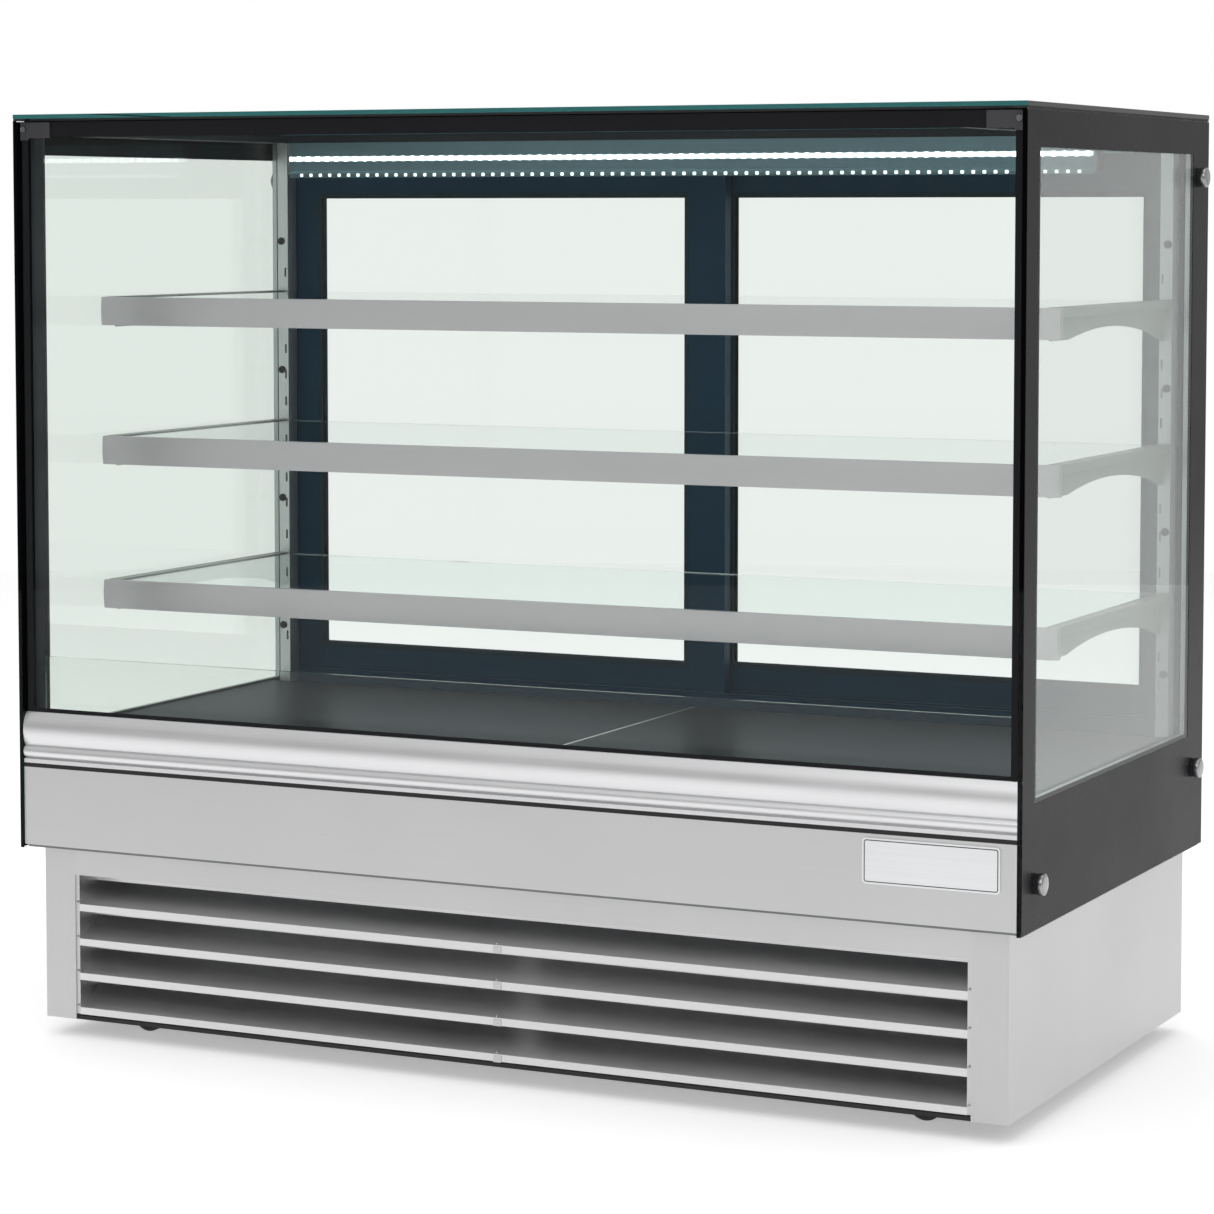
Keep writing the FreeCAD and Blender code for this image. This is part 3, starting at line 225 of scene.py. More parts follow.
def metal(name, light, dark, roughness, along=(3.0, 700.0, 700.0), marks=0.06, dust=0.0, relief=0.00002,
          spread=0.08, edge=1.0):
    """A brushed or satin metal whose grain runs along one axis."""
    material, tree, shader = new_material(name)
    grain = tree.group("brushed_grain", Along_X=along[0], Along_Y=along[1], Along_Z=along[2])[0]
    smears = tree.group("soft_marks", Size=3.5, Amount=1.0)[0]
    colour = tree.mix(grain, dark + (1,), light + (1,))
    if dust:
        colour = tree.mix(tree.group("settled_dust", Amount=dust)[0], colour, (0.42, 0.4, 0.37, 1))
    rough = tree.math("MULTIPLY_ADD", grain, spread, roughness)
    rough = tree.math("MULTIPLY_ADD", smears, marks, rough)
    set_shader(tree, shader, Base_Color=colour, Metallic=1.0, Roughness=rough,
               Specular_Tint=(edge, edge, edge, 1))
    bump(tree, shader, grain, relief)
    return material


def paint(name, colour, roughness, coat=0.0, skin=500.0, dust=0.0, vary=0.15, shine=0.5, foot=None):
    """A painted or moulded finish with a fine skin; a foot colour takes the place below DOOR_FOOT."""
    material, tree, shader = new_material(name)
    marks = tree.group("soft_marks", Size=6.0, Amount=1.0)[0]
    shade = tuple(part * (1 - vary) for part in colour)
    mixed = tree.mix(marks, shade + (1,), colour + (1,))
    if foot:
        mixed = tree.mix(tree.math("LESS_THAN", tree.place()[2], DOOR_FOOT), mixed, foot + (1,))
    if dust:
        mixed = tree.mix(tree.group("settled_dust", Amount=dust)[0], mixed, (0.3, 0.29, 0.27, 1))
    rough = tree.math("MULTIPLY_ADD", marks, 0.08, roughness)
    set_shader(tree, shader, Base_Color=mixed, Roughness=rough, Coat_Weight=coat, Coat_Roughness=0.08,
               Specular_IOR_Level=shine)
    bump(tree, shader, tree.group("moulded_skin", Size=skin)[0], 0.00004)
    return material


def glass(name, face_tint, edge_tint, flat_axis, bend=1.22):
    """Clear sheet glass: faces across flat_axis are clear, its other faces are the coloured cut edges."""
    material, tree, shader = new_material(name)
    squareness = tree.math("ABSOLUTE", tree.normal()["XYZ".index(flat_axis)])
    edge = tree.math("LESS_THAN", squareness, 0.7)
    streaks = tree.group("soft_marks", Size=60.0, Amount=0.12)[0]
    edge_colour = tree.mix(streaks, edge_tint + (1,), tuple(0.6 * part for part in edge_tint) + (1,))
    set_shader(tree, shader, Base_Color=tree.mix(edge, face_tint + (1,), edge_colour), Metallic=0.0,
               Roughness=0.0, IOR=bend, Transmission_Weight=1.0)
    let_lamps_through(tree, shader, 0.93)
    return material


def let_lamps_through(tree, shader, share):
    """Let a share of the lamps' light reach what stands behind the glass."""
    clear = tree.add("ShaderNodeBsdfTransparent")
    clear.inputs[0].default_value = (share, share, share, 1)
    rays = tree.add("ShaderNodeLightPath").outputs
    tree.blend(rays["Is Shadow Ray"], shader.outputs[0], clear.outputs[0], "OUTPUT_MATERIAL")


def lit(name, colour, strength, pitch=None, bright=None):
    """A lit cover; with a pitch it is brighter at each diode along X."""
    material, tree, shader = new_material(name)
    marks = tree.group("soft_marks", Size=40.0, Amount=1.0)[0]
    cover = tree.mix(marks, (0.9, 0.92, 0.92, 1), (0.8, 0.83, 0.83, 1))
    set_shader(tree, shader, Base_Color=cover, Roughness=0.35, Emission_Strength=strength)
    if pitch:
        wave = tree.math("SINE", tree.math("MULTIPLY", tree.place()[0], math.tau / pitch))
        spots = tree.range(wave, -0.2, 1.0, 0.0, 1.0)
        set_shader(tree, shader, Emission_Color=tree.mix(spots, colour + (1,), bright + (1,)))
    else:
        faded = tuple(0.9 * part for part in colour)
        set_shader(tree, shader, Emission_Color=tree.mix(marks, colour + (1,), faded + (1,)))
    return material


def perforated_spacer():
    """The pale spacer bar between the panes, with a row of small vent holes whose dark insides are painted shade."""
    material, tree, shader = new_material("spacer perforations")
    y, z = tree.place()[1:3]
    bar = 9 * MM
    centres = (low("pane_spacers").y + bar / 2, high("pane_spacers").y - bar / 2)
    near, far = (tree.math("ABSOLUTE", tree.math("SUBTRACT", y, centre)) for centre in centres)
    centred = tree.math("LESS_THAN", tree.math("MINIMUM", near, far), 1.5 * MM)
    hole_pitch = 6 * MM
    level_step, upright_step = (
        tree.math("LESS_THAN", tree.math("FRACT", tree.math("DIVIDE", way, hole_pitch)), 0.42) for way in (y, z))
    level = tree.math("GREATER_THAN", tree.math("ABSOLUTE", tree.normal()[2]), 0.5)
    mask = tree.math("MAXIMUM", tree.math("MULTIPLY", centred, upright_step),
                     tree.math("MULTIPLY", level, level_step))
    # painted shade: the vent holes are real, and their near-black colour stands in for the shade inside them
    colour = tree.mix(mask, (0.5, 0.56, 0.55, 1), (0.12, 0.14, 0.15, 1))
    set_shader(tree, shader, Base_Color=colour, Metallic=0.6, Roughness=0.35)
    return material


def finned(name, colour, pitch):
    """Thin fins stacked along X, with painted shade in the gaps between them."""
    material, tree, shader = new_material(name)
    step = tree.math("FRACT", tree.math("DIVIDE", tree.place()[0], pitch))
    # painted shade: the gaps between the fins get a near-black colour for the shade between them
    gap_shade = tree.math("LESS_THAN", step, 0.6)
    marks = tree.group("soft_marks", Size=25.0, Amount=1.0)[0]
    fins = tree.mix(marks, colour + (1,), tuple(0.75 * part for part in colour) + (1,))
    set_shader(tree, shader, Base_Color=tree.mix(gap_shade, fins, (0.02, 0.02, 0.02, 1)), Metallic=0.8, Roughness=0.4)
    bump(tree, shader, step, 0.0006, 0.8)
    return material


def make_materials(settings):
    """Every finish of the case, by name."""
    steel = tuple(settings.steel_colour)
    shade = tuple(0.94 * part for part in steel)
    tint = tuple(settings.glass_tint)
    edge = tuple(settings.edge_tint)
    return {
        "steel": metal("brushed steel", steel, shade, 0.36, relief=0.000003),
        "steel_side": metal("brushed steel upright", steel, shade, 0.4, along=(700.0, 700.0, 3.0),
                            relief=0.000006),
        "galvanised": metal("galvanised sheet", (0.55, 0.56, 0.57), (0.45, 0.46, 0.47), 0.42, (40.0, 40.0, 40.0),
                            dust=0.5),
        "aluminium": metal("satin aluminium", (0.78, 0.78, 0.79), (0.74, 0.74, 0.75), 0.36),
        "rail": metal("shelf rail aluminium", (0.5, 0.485, 0.505), (0.46, 0.447, 0.465), 0.36),
        "upright": metal("upright aluminium", (0.62, 0.65, 0.65), (0.5, 0.53, 0.53), 0.34, (600.0, 600.0, 4.0)),
        "louvre": metal("louvre steel", (0.78, 0.78, 0.785), (0.72, 0.72, 0.725), 0.34, dust=0.08),
        "bracket": metal("bracket steel", (0.36, 0.39, 0.38), (0.31, 0.34, 0.33), 0.36, (500.0, 4.0, 500.0)),
        "cap": metal("turned cap metal", (0.42, 0.42, 0.43), (0.3, 0.3, 0.31), 0.22, (500.0, 90.0, 90.0)),
        # painted reflection: the dark blue-grey colour stands in for the polished deck mirroring the dark navy door
        # rails
        "deck": metal("deck steel with painted dark reflection", (0.19, 0.212, 0.236), (0.175, 0.197, 0.22), 0.3,
                      (4.0, 500.0, 500.0), marks=0.03, relief=0.000001, spread=0.02, edge=0.3),
        "badge": metal("badge plate aluminium", (0.85, 0.86, 0.87), (0.78, 0.79, 0.8), 0.3, (3.0, 500.0, 500.0)),
        "copper": metal("copper pipe", (0.75, 0.4, 0.25), (0.6, 0.28, 0.16), 0.3, (60.0, 60.0, 60.0), dust=0.3),
        "black_frame": paint("black anodised frame", (0.006, 0.01, 0.013), 0.34, shine=0.22),
        "door_frame": paint("dark blue door frame", (0.006, 0.042, 0.078), 0.42, shine=0.12),
        "header": paint("header beam paint", (0.075, 0.2, 0.235), 0.36, shine=0.15,
                        foot=(0.006, 0.036, 0.066)),
        "black_enamel": paint("black enamel", (0.01, 0.01, 0.011), 0.25, coat=0.4, dust=0.5),
        "pan": paint("black pan paint", (0.008, 0.008, 0.009), 0.5, dust=0.6),
        "rubber": paint("black rubber seal", (0.008, 0.008, 0.009), 0.6, skin=1500.0),
        "gasket": paint("door gasket", (0.012, 0.034, 0.046), 0.6, skin=1500.0, shine=0.2),
        "tyre": paint("caster tread", (0.02, 0.02, 0.021), 0.55, skin=800.0, dust=0.3),
        "plastic": paint("black moulded plastic", (0.012, 0.012, 0.013), 0.4, skin=1200.0),
        "grey_plastic": paint("grey moulded plastic", (0.2, 0.21, 0.22), 0.45, skin=900.0),
        "plate": paint("corner plate paint", (0.045, 0.045, 0.05), 0.38),
        "print": paint("fired black print", (0.016, 0.016, 0.018), 0.25, skin=200.0, vary=0.05, shine=0.05),
        "well": paint("well liner", (0.22, 0.23, 0.24), 0.4, dust=0.1),
        "front_glass": glass("front glass", tint, edge, "Y"),
        "side_glass": glass("side glass", tint, edge, "X"),
        "shelf_glass": glass("shelf glass", tuple(settings.shelf_tint), edge, "Z", 1.4),
        "top_glass": glass("top glass", (0.1, 0.13, 0.13), (0.03, 0.14, 0.14), "Z", 1.45),
        "door_glass": glass("door glass", tint, edge, "Y"),
        "lamp": metal("lamp channel", (0.16, 0.25, 0.28), (0.12, 0.19, 0.22), 0.35),
        "lens": lit("lamp lens", (0.14, 0.18, 0.18), settings.lamp_strength, settings.diode_pitch, (1.0, 1.0, 1.0)),
        "diode": lit("lamp diode", (0.86, 1.0, 0.97), 0.2 * settings.lamp_strength),
        "shelf_lamp": paint("shelf lamp base", (0.55, 0.58, 0.57), 0.4),
        "spacer": perforated_spacer(),
        "hairline": metal("deck joint steel", (0.9, 0.9, 0.9), (0.85, 0.85, 0.85), 0.3),
        "fins": finned("condenser fins", (0.62, 0.63, 0.64), 4 * MM),
        "display": paint("controller display", (0.006, 0.006, 0.007), 0.08, coat=1.0),
        "digits": lit("controller digits", (1.0, 0.12, 0.05), 2.0),
    }


FINISHES = {
    "steel": ["fascia_panel", "base_header", "grille_frame"],
    "steel_side": ["base_left_panel", "base_right_panel"],
    "louvre": ["louvre_blades"],
    "galvanised": ["base_rear_panel", "condensate_tray", "condenser_fan_shroud"]
                  + ["caster_fork_" + place for place in CASTERS],
    "aluminium": ["bumper_moulding"],
    "rail": ["shelf_rails"],
    "upright": ["uprights"],
    "bracket": ["shelf_brackets"],
    "cap": ["corner_screws", "pane_caps"],
    "deck": ["deck_panels"],
    "badge": ["badge_plate"],
    "copper": ["refrigerant_pipes"],
    "black_frame": ["corner_posts", "top_frame"],
    "door_frame": ["left_door_frame", "right_door_frame"],
    "header": ["door_tracks"],
    "black_enamel": ["compressor", "condenser_fan_motor"],
    "pan": ["base_pan"],
    "rubber": ["top_seal", "fascia_seal", "pane_washers"],
    "tyre": ["caster_wheel_" + place for place in CASTERS],
    "plastic": ["upright_plugs", "control_panel", "cord_gland", "evaporator_fan_housing", "condenser_fan_blade",
                "evaporator_fan_blade", "power_switch", "lamp_switch"],
    "plate": ["corner_plates"],
    "well": ["insulated_well"],
    "front_glass": ["front_glass", "riser_glass"],
    "side_glass": ["outer_panes", "inner_panes"],
    "shelf_glass": ["shelf_glasses"],
    "top_glass": ["top_glass"],
    "door_glass": ["left_door_glass", "right_door_glass"],
    "spacer": ["pane_spacers"],
    "fins": ["condenser_coil", "evaporator_coil"],
    "shelf_lamp": ["shelf_lamps"],
    "lamp": ["top_lamp"],
}
MATERIALS = {}


def dress(piece, finish):
    """Give a piece one finish."""
    piece.data.materials.clear()
    piece.data.materials.append(MATERIALS[finish])


# Modelling ------------

def finish_piece(piece, name, finish, body="cabinet"):
    """Name a modelled piece, fix its place in its mesh, dress it and let it ride on its body."""
    select_only(piece)
    fix_place()
    piece.name = name
    piece.data.name = name
    dress(piece, finish)
    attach(piece, body)
    return piece


def select_only(piece):
    """Select one piece and make it the active one."""
    bpy.ops.object.select_all(action="DESELECT")
    piece.select_set(True)
    bpy.context.view_layer.objects.active = piece


def fix_place():
    """The active piece, with its place, turn and size taken into its mesh."""
    bpy.ops.object.transform_apply(location=True, rotation=True, scale=True)
    return bpy.context.active_object


def add_block(lowest, highest):
    """A block between two corners, still to be shaped."""
    middle = (Vector(lowest) + Vector(highest)) / 2
    bpy.ops.mesh.primitive_cube_add(size=1, location=middle)
    bpy.context.active_object.scale = Vector(highest) - Vector(lowest)
    return fix_place()


def add_rod(centre, axis, radius, length, sides=32):
    """A cylinder about its centre along an axis, still to be shaped."""
    turn = {"x": (0, math.pi / 2, 0), "y": (math.pi / 2, 0, 0), "z": (0, 0, 0)}[axis]
    bpy.ops.mesh.primitive_cylinder_add(vertices=sides, radius=radius, depth=length, location=centre, rotation=turn)
    return fix_place()


def pick(piece, faces):
    """In object mode, select exactly the faces that a test of centre and normal accepts."""
    for vertex in piece.data.vertices:
        vertex.select = False
    for edge in piece.data.edges:
        edge.select = False
    for face in piece.data.polygons:
        face.select = bool(faces(face.center, face.normal))


def facing(axis, side=1):
    """A test for the faces that look along an axis."""
    index = "xyz".index(axis)
    return lambda centre, normal: normal[index] * side > FACING


def across(axis):
    """A test for the faces that look along an axis either way."""
    index = "xyz".index(axis)
    return lambda centre, normal: abs(normal[index]) > FACING


def in_edit(piece, *steps):
    """Run edit-mode steps on one piece."""
    select_only(piece)
    bpy.ops.object.mode_set(mode="EDIT")
    for step in steps:
        step()
    bpy.ops.object.mode_set(mode="OBJECT")
    return piece


def edit(piece, faces, *steps):
    """Select faces by a test, then run edit-mode steps on them."""
    pick(piece, faces)
    return in_edit(piece, lambda: bpy.ops.mesh.select_mode(type="FACE"), *steps)


def inset(thickness, depth=0.0):
    """An edit step: inset the picked faces."""
    return lambda: bpy.ops.mesh.inset(thickness=thickness, depth=depth, use_even_offset=True)


def extrude(offset):
    """An edit step: extrude the picked faces by an offset."""
    return lambda: bpy.ops.mesh.extrude_region_move(TRANSFORM_OT_translate={"value": offset})


def delete_faces():
    """An edit step: delete the picked faces."""
    bpy.ops.mesh.delete(type="FACE")


def deselect():
    """An edit step: clear the selection."""
    bpy.ops.mesh.select_all(action="DESELECT")


def select_all():
    """An edit step: select everything."""
    bpy.ops.mesh.select_all(action="SELECT")


def turn_outward():
    """An edit step: turn every face outward."""
    select_all()
    bpy.ops.mesh.normals_make_consistent(inside=False)


def wall_openings():
    """An edit step: join the two rims of each opening with a wall."""
    deselect()
    bpy.ops.mesh.select_mode(type="EDGE")
    bpy.ops.mesh.select_non_manifold()
    bpy.ops.mesh.bridge_edge_loops()
    turn_outward()


def slice_at(index, place):
    """An edit step: cut all faces by the plane at a place along axis number index."""
    def step():
        point = [0.0, 0.0, 0.0]
        point[index] = place
        normal = [0.0, 0.0, 0.0]
        normal[index] = 1.0
        select_all()
        bpy.ops.mesh.bisect(plane_co=point, plane_no=normal)
    return step


def modify(piece, kind, **values):
    """Add a modifier and apply it."""
    select_only(piece)
    modifier = piece.modifiers.new(kind.lower(), kind)
    for name, value in values.items():
        setattr(modifier, name, value)
    bpy.ops.object.modifier_apply(modifier=modifier.name)
    return piece


def round_edges(piece, width, segments=3):
    """Round a piece's sharp edges."""
    modify(piece, "BEVEL", width=width, segments=segments, limit_method="ANGLE", angle_limit=math.radians(35))
    return smooth(piece)


def smooth(piece, angle=35):
    """Smooth shading except across sharp edges."""
    select_only(piece)
    bpy.ops.object.shade_smooth_by_angle(angle=math.radians(angle))
    return piece


def copy_piece(piece, move):
    """A copy with a mesh of its own, moved by a matrix."""
    twin = piece.copy()
    twin.data = piece.data.copy()
    twin.data.transform(move)
    bpy.context.collection.objects.link(twin)
    return twin


def repeat(piece, offsets):
    """Copies of a piece at offsets, joined; the piece itself is taken away."""
    twins = [copy_piece(piece, Matrix.Translation(Vector(offset))) for offset in offsets]
    bpy.data.objects.remove(piece)
    return join(twins)


def diode_row(node, lowest, highest, bevel):
    """A row of one bevelled diode, spaced evenly along a lamp node."""
    pitch = settings().diode_pitch
    foot, top = corners(node)
    count = int((top.x - foot.x - 20 * MM) / pitch)
    start = -pitch * (count - 1) / 2
    diode = modify(add_block(lowest, highest), "BEVEL", width=bevel, segments=1)
    return repeat(diode, [(start + index * pitch, 0, 0) for index in range(count)])


def mirror_x(piece):
    """A mirror image of a piece on the other end of the case, kept as a second object."""
    return in_edit(copy_piece(piece, Matrix.Scale(-1, 4, (1, 0, 0))), turn_outward)


def join(pieces):
    """Join several pieces into the first."""
    bpy.ops.object.select_all(action="DESELECT")
    for piece in pieces:
        piece.select_set(True)
    bpy.context.view_layer.objects.active = pieces[0]
    bpy.ops.object.join()
    return bpy.context.active_object


def outline(node, axis, wide, tall=None):
    """A node's outline seen along an axis, grown by one margin or one for each way: two pairs of ends."""
    foot, top = corners(node)
    flat = [index for index in range(3) if index != axis]
    margins = (wide, wide if tall is None else tall)
    return [(foot[index] - margin, top[index] + margin) for index, margin in zip(flat, margins)]


def open_frame(axis, at, outer, inner, thickness):
    """A thin flat frame across an axis: a sheet cut at the opening's edges, its middle removed, its rims walled."""
    flat = [index for index in range(3) if index != axis]
    lowest = [0.0, 0.0, 0.0]
    highest = [0.0, 0.0, 0.0]
    lowest[axis] = at
    highest[axis] = at + thickness
    for index, (start, end) in zip(flat, outer):
        lowest[index] = start
        highest[index] = end
    piece = add_block(lowest, highest)
    in_edit(piece, *[slice_at(index, place) for index, ends in zip(flat, inner) for place in ends])
    (first, (a_low, a_high)), (second, (b_low, b_high)) = zip(flat, inner)
    edit(piece, lambda centre, normal: a_low < centre[first] < a_high and b_low < centre[second] < b_high,
         delete_faces)
    return in_edit(piece, wall_openings)


# Settings ------------

class DeliCaseSettings(bpy.types.PropertyGroup):
    """Sizes and colours that a user may change."""

    steel_colour: FloatVectorProperty(
        name="Steel colour", description="Colour of the brushed steel panels", subtype="COLOR",
        default=(0.64, 0.64, 0.64), min=0.0, max=1.0)
    glass_tint: FloatVectorProperty(
        name="Glass tint", description="Colour of light through the clear sheets", subtype="COLOR",
        default=(0.912, 0.937, 0.92), min=0.0, max=1.0)
    shelf_tint: FloatVectorProperty(
        name="Shelf glass tint", description="Colour of light through the shelves", subtype="COLOR",
        default=(0.84, 0.945, 0.915), min=0.0, max=1.0)
    edge_tint: FloatVectorProperty(
        name="Glass edge tint", description="Colour of the cut edges of the glass", subtype="COLOR",
        default=(0.25, 0.6, 0.5), min=0.0, max=1.0)
    lamp_strength: FloatProperty(
        name="Lamp strength", description="Brightness of the top lamp", default=6.0, min=0.0, max=60.0)
    window_border: FloatProperty(
        name="Window border", description="Width of the black print at the front edge of a side pane",
        default=45 * MM, min=0.0, max=0.2, unit="LENGTH")
    diode_pitch: FloatProperty(
        name="Diode pitch", description="Distance between the lamp's diodes", default=16.5 * MM, min=0.004,
        max=0.1, unit="LENGTH")
    cap_radius: FloatProperty(
        name="Cap radius", description="Radius of a stand-off cap", default=14 * MM, min=0.005, max=0.05,
        unit="LENGTH")
    screw_sides: IntProperty(
        name="Screw sides", description="Number of sides of a screw head", default=20, min=8, max=64)


def settings():
    """The case's settings on the scene."""
    return bpy.context.scene.deli_case


# Operators ------------

class OBJECT_OT_deli_finishes(bpy.types.Operator):
    """Makes the finishes and dresses every frame node"""

    bl_idname = "object.deli_finishes"
    bl_label = "Finishes"

    def execute(self, context):
        make_groups()
        MATERIALS.update(make_materials(settings()))
        for finish, names in FINISHES.items():
            for name in names:
                dress(NODES[name], finish)
        return {"FINISHED"}


class OBJECT_OT_deli_glass_prints(bpy.types.Operator):
    """Adds the black prints fired on the side panes and on the front glass"""

    bl_idname = "object.deli_glass_prints"
    bl_label = "Glass prints"

    def execute(self, context):
        pane_low, pane_high = corners("outer_panes")
        skin = 0.4 * MM
        rear_border = 73 * MM
        window_foot, window_top = 0.434, 1.254
        outer = outline("outer_panes", 0, -MM)
        window = ((pane_low.y + settings().window_border, pane_high.y - rear_border), (window_foot, window_top))
        face = pane_high.x
        for word, at in (("left", -face - skin), ("right", face)):
            piece = open_frame(0, at, outer, window, skin)
            finish_piece(piece, f"{word}_pane_print", "print")
        front_low, front_high = corners("front_glass")
        outer = outline("front_glass", 1, -MM, -0.5 * MM)
        window = ((front_low.x + 12 * MM, front_high.x - 12 * MM), (front_low.z + 6 * MM, front_high.z - 22 * MM))
        piece = open_frame(1, front_low.y - skin, outer, window, skin)
        finish_piece(piece, "front_glass_print", "print")
        return {"FINISHED"}


class OBJECT_OT_deli_caps(bpy.types.Operator):
    """Turns the six stand-off caps: a bright bevelled rim round a dished dark face, on a stem"""

    bl_idname = "object.deli_caps"
    bl_label = "Stand-off caps"

    def execute(self, context):
        foot, top = corners("pane_caps")
        radius = settings().cap_radius
        thick = 8 * MM
        outer = top.x
        middles = ((foot.y + radius, foot.z + radius), (top.y - radius, foot.z + 56 * MM + radius),
                   (top.y - radius, top.z - radius))
        y, z = middles[0]
        head = add_rod((outer - thick / 2, y, z), "x", radius, thick, 48)
        edit(head, facing("x"), inset(1.6 * MM), inset(0.8 * MM, 1.2 * MM),
             inset(6 * MM), inset(1.5 * MM, 0.25 * MM))
        round_edges(head, 0.7 * MM, 2)
        stem = add_rod((outer - thick - 5 * MM, y, z), "x", 4 * MM, 10 * MM, 20)
        cap = join([head, stem])
        right = repeat(cap, [(0, row_y - y, row_z - z) for row_y, row_z in middles])
        left = mirror_x(right)
        for piece, word in ((right, "right"), (left, "left")):
            finish_piece(piece, f"{word}_cap_heads", "cap")
        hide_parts("pane_caps")
        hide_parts("pane_caps")
        return {"FINISHED"}


class OBJECT_OT_deli_top_lamp(bpy.types.Operator):
    """Fits the top lamp's lens, its row of diodes and its end caps"""

    bl_idname = "object.deli_top_lamp"
    bl_label = "Top lamp"

    def execute(self, context):
        foot, top = corners("top_lamp")
        near = foot.y
        lens_z = foot.z + 20 * MM
        lens = add_block((foot.x + 4 * MM, near - 3 * MM, lens_z), (top.x - 4 * MM, near, lens_z + 7 * MM))
        round_edges(lens, 1.4 * MM, 3)
        finish_piece(lens, "top_lamp_lens", "lens")
        lip = add_block((foot.x + 4 * MM, near - 0.6 * MM, foot.z - 5 * MM), (top.x - 4 * MM, near, foot.z + 6 * MM))
        edit(lip, facing("y", -1), inset(1.2 * MM), inset(0.3 * MM, -0.2 * MM))
        finish_piece(round_edges(lip, 0.2 * MM, 1), "top_lamp_lip", "lamp")
        near -= 0.3 * MM
        row = diode_row("top_lamp", (-2.7 * MM, near - 1.6 * MM, foot.z - 3.6 * MM),
                        (2.7 * MM, near, foot.z + 1.2 * MM), 0.8 * MM)
        finish_piece(row, "top_lamp_diodes", "diode")
        caps = []
        for side in (-1, 1):
            x = side * top.x
            cap = add_block((min(x, x - side * 3 * MM), near - 1 * MM, foot.z - 1 * MM),
                            (max(x, x - side * 3 * MM), top.y + 1 * MM, top.z))
            caps.append(round_edges(cap, 0.8 * MM, 2))
        finish_piece(join(caps), "top_lamp_end_caps", "grey_plastic")
        return {"FINISHED"}


class OBJECT_OT_deli_shelf_diodes(bpy.types.Operator):
    """Fits a row of small diodes under the glass of each shelf"""

    bl_idname = "object.deli_shelf_diodes"
    bl_label = "Shelf diodes"

    def execute(self, context):
        near = low("shelf_lamps").y
        for word, seat in zip(("lower", "middle", "upper"), shelf_seats()):
            under = seat - 9 * MM
            row = diode_row("shelf_lamps", (-2 * MM, near + 4 * MM, under - 1 * MM),
                            (2 * MM, near + 8 * MM, under), 0.6 * MM)
            finish_piece(row, f"{word}_shelf_diodes", "diode")
        return {"FINISHED"}


class OBJECT_OT_deli_shelf_end_trims(bpy.types.Operator):
    """Closes each end of the shelf glass with a thin folded strip that rests on the bracket"""

    bl_idname = "object.deli_shelf_end_trims"
    bl_label = "Shelf end trims"

    def execute(self, context):
        sheets, end = corners("shelf_glasses")
        trims = []
        for seat in shelf_seats():
            for side in (-1, 1):
                near, far = sorted((side * (end.x - 17 * MM), side * (end.x + 2 * MM)))
                strip = add_block((near, sheets.y + 1 * MM, seat - 3 * MM), (far, end.y, seat + 9.5 * MM))
                edit(strip, facing("z"), inset(1.2 * MM), inset(0.5 * MM, -0.4 * MM))
                trims.append(round_edges(strip, 0.8 * MM, 2))
        finish_piece(join(trims), "shelf_end_trims", "bracket")
        return {"FINISHED"}


def shelf_seats():
    """The under side of each shelf's glass, from the lowest shelf up."""
    mesh = NODES["shelf_glasses"].data
    levels = sorted({round(vertex.co.z, 4) for vertex in mesh.vertices})
    return levels[0::2]


class OBJECT_OT_deli_door_trim(bpy.types.Operator):
    """Fits each door's glazing gaskets on both faces and its grip liner"""

    bl_idname = "object.deli_door_trim"
    bl_label = "Door gaskets and grips"

    def execute(self, context):
        for word, side in (("left", -1), ("right", 1)):
            frame_low, frame_high = corners(word + "_door_frame")
            outer = outline(word + "_door_glass", 1, 2 * MM)
            inner = outline(word + "_door_glass", 1, -5 * MM)
            strips = []
            for at in (frame_low.y - 0.6 * MM, frame_high.y - 2.0 * MM):
                strips.append(round_edges(open_frame(1, at, outer, inner, 2.6 * MM), 0.9 * MM, 2))
            finish_piece(join(strips), f"{word}_door_gaskets", "gasket", f"{word}_door")
            self.grip(word, side, frame_low, frame_high)
        return {"FINISHED"}

    def grip(self, word, side, frame_low, frame_high):
        """The moulded liner of a recessed finger grip."""
        from_end = 31 * MM
        half_width = 11 * MM
        middle = (frame_high.x if side > 0 else frame_low.x) - side * from_end
        foot = frame_low.z + 317.5 * MM
        height = 222 * MM
        liner = add_block((middle - half_width, frame_high.y - 7 * MM, foot - 2 * MM),
                          (middle + half_width, frame_high.y + 1 * MM, foot + height))
        edit(liner, facing("y"), inset(4 * MM), inset(0.6 * MM, -6 * MM))
        round_edges(liner, 0.6 * MM, 2)
        finish_piece(liner, f"{word}_door_grip_liner", "plastic", f"{word}_door")


class OBJECT_OT_deli_caster_hubs(bpy.types.Operator):
    """Fits each caster wheel with two dished hub covers"""

    bl_idname = "object.deli_caster_hubs"
    bl_label = "Caster hubs"

    def execute(self, context):
        for word in CASTERS:
            foot, top = corners("caster_wheel_" + word)
            middle = (foot + top) / 2
            covers = []
            for side in (-1, 1):
                y = top.y if side > 0 else foot.y
                disc = add_rod((middle.x, y - side * 0.2 * MM, middle.z), "y", 15 * MM, 1 * MM, 32)
                edit(disc, facing("y", side), inset(2.5 * MM),
                     inset(1.2 * MM, -0.5 * MM), inset(5 * MM), inset(0.8 * MM, 0.4 * MM))
                covers.append(disc)
            hub = round_edges(join(covers), 0.2 * MM, 2)
            finish_piece(hub, "caster_hub_" + word, "grey_plastic", "wheel_" + word)
        return {"FINISHED"}


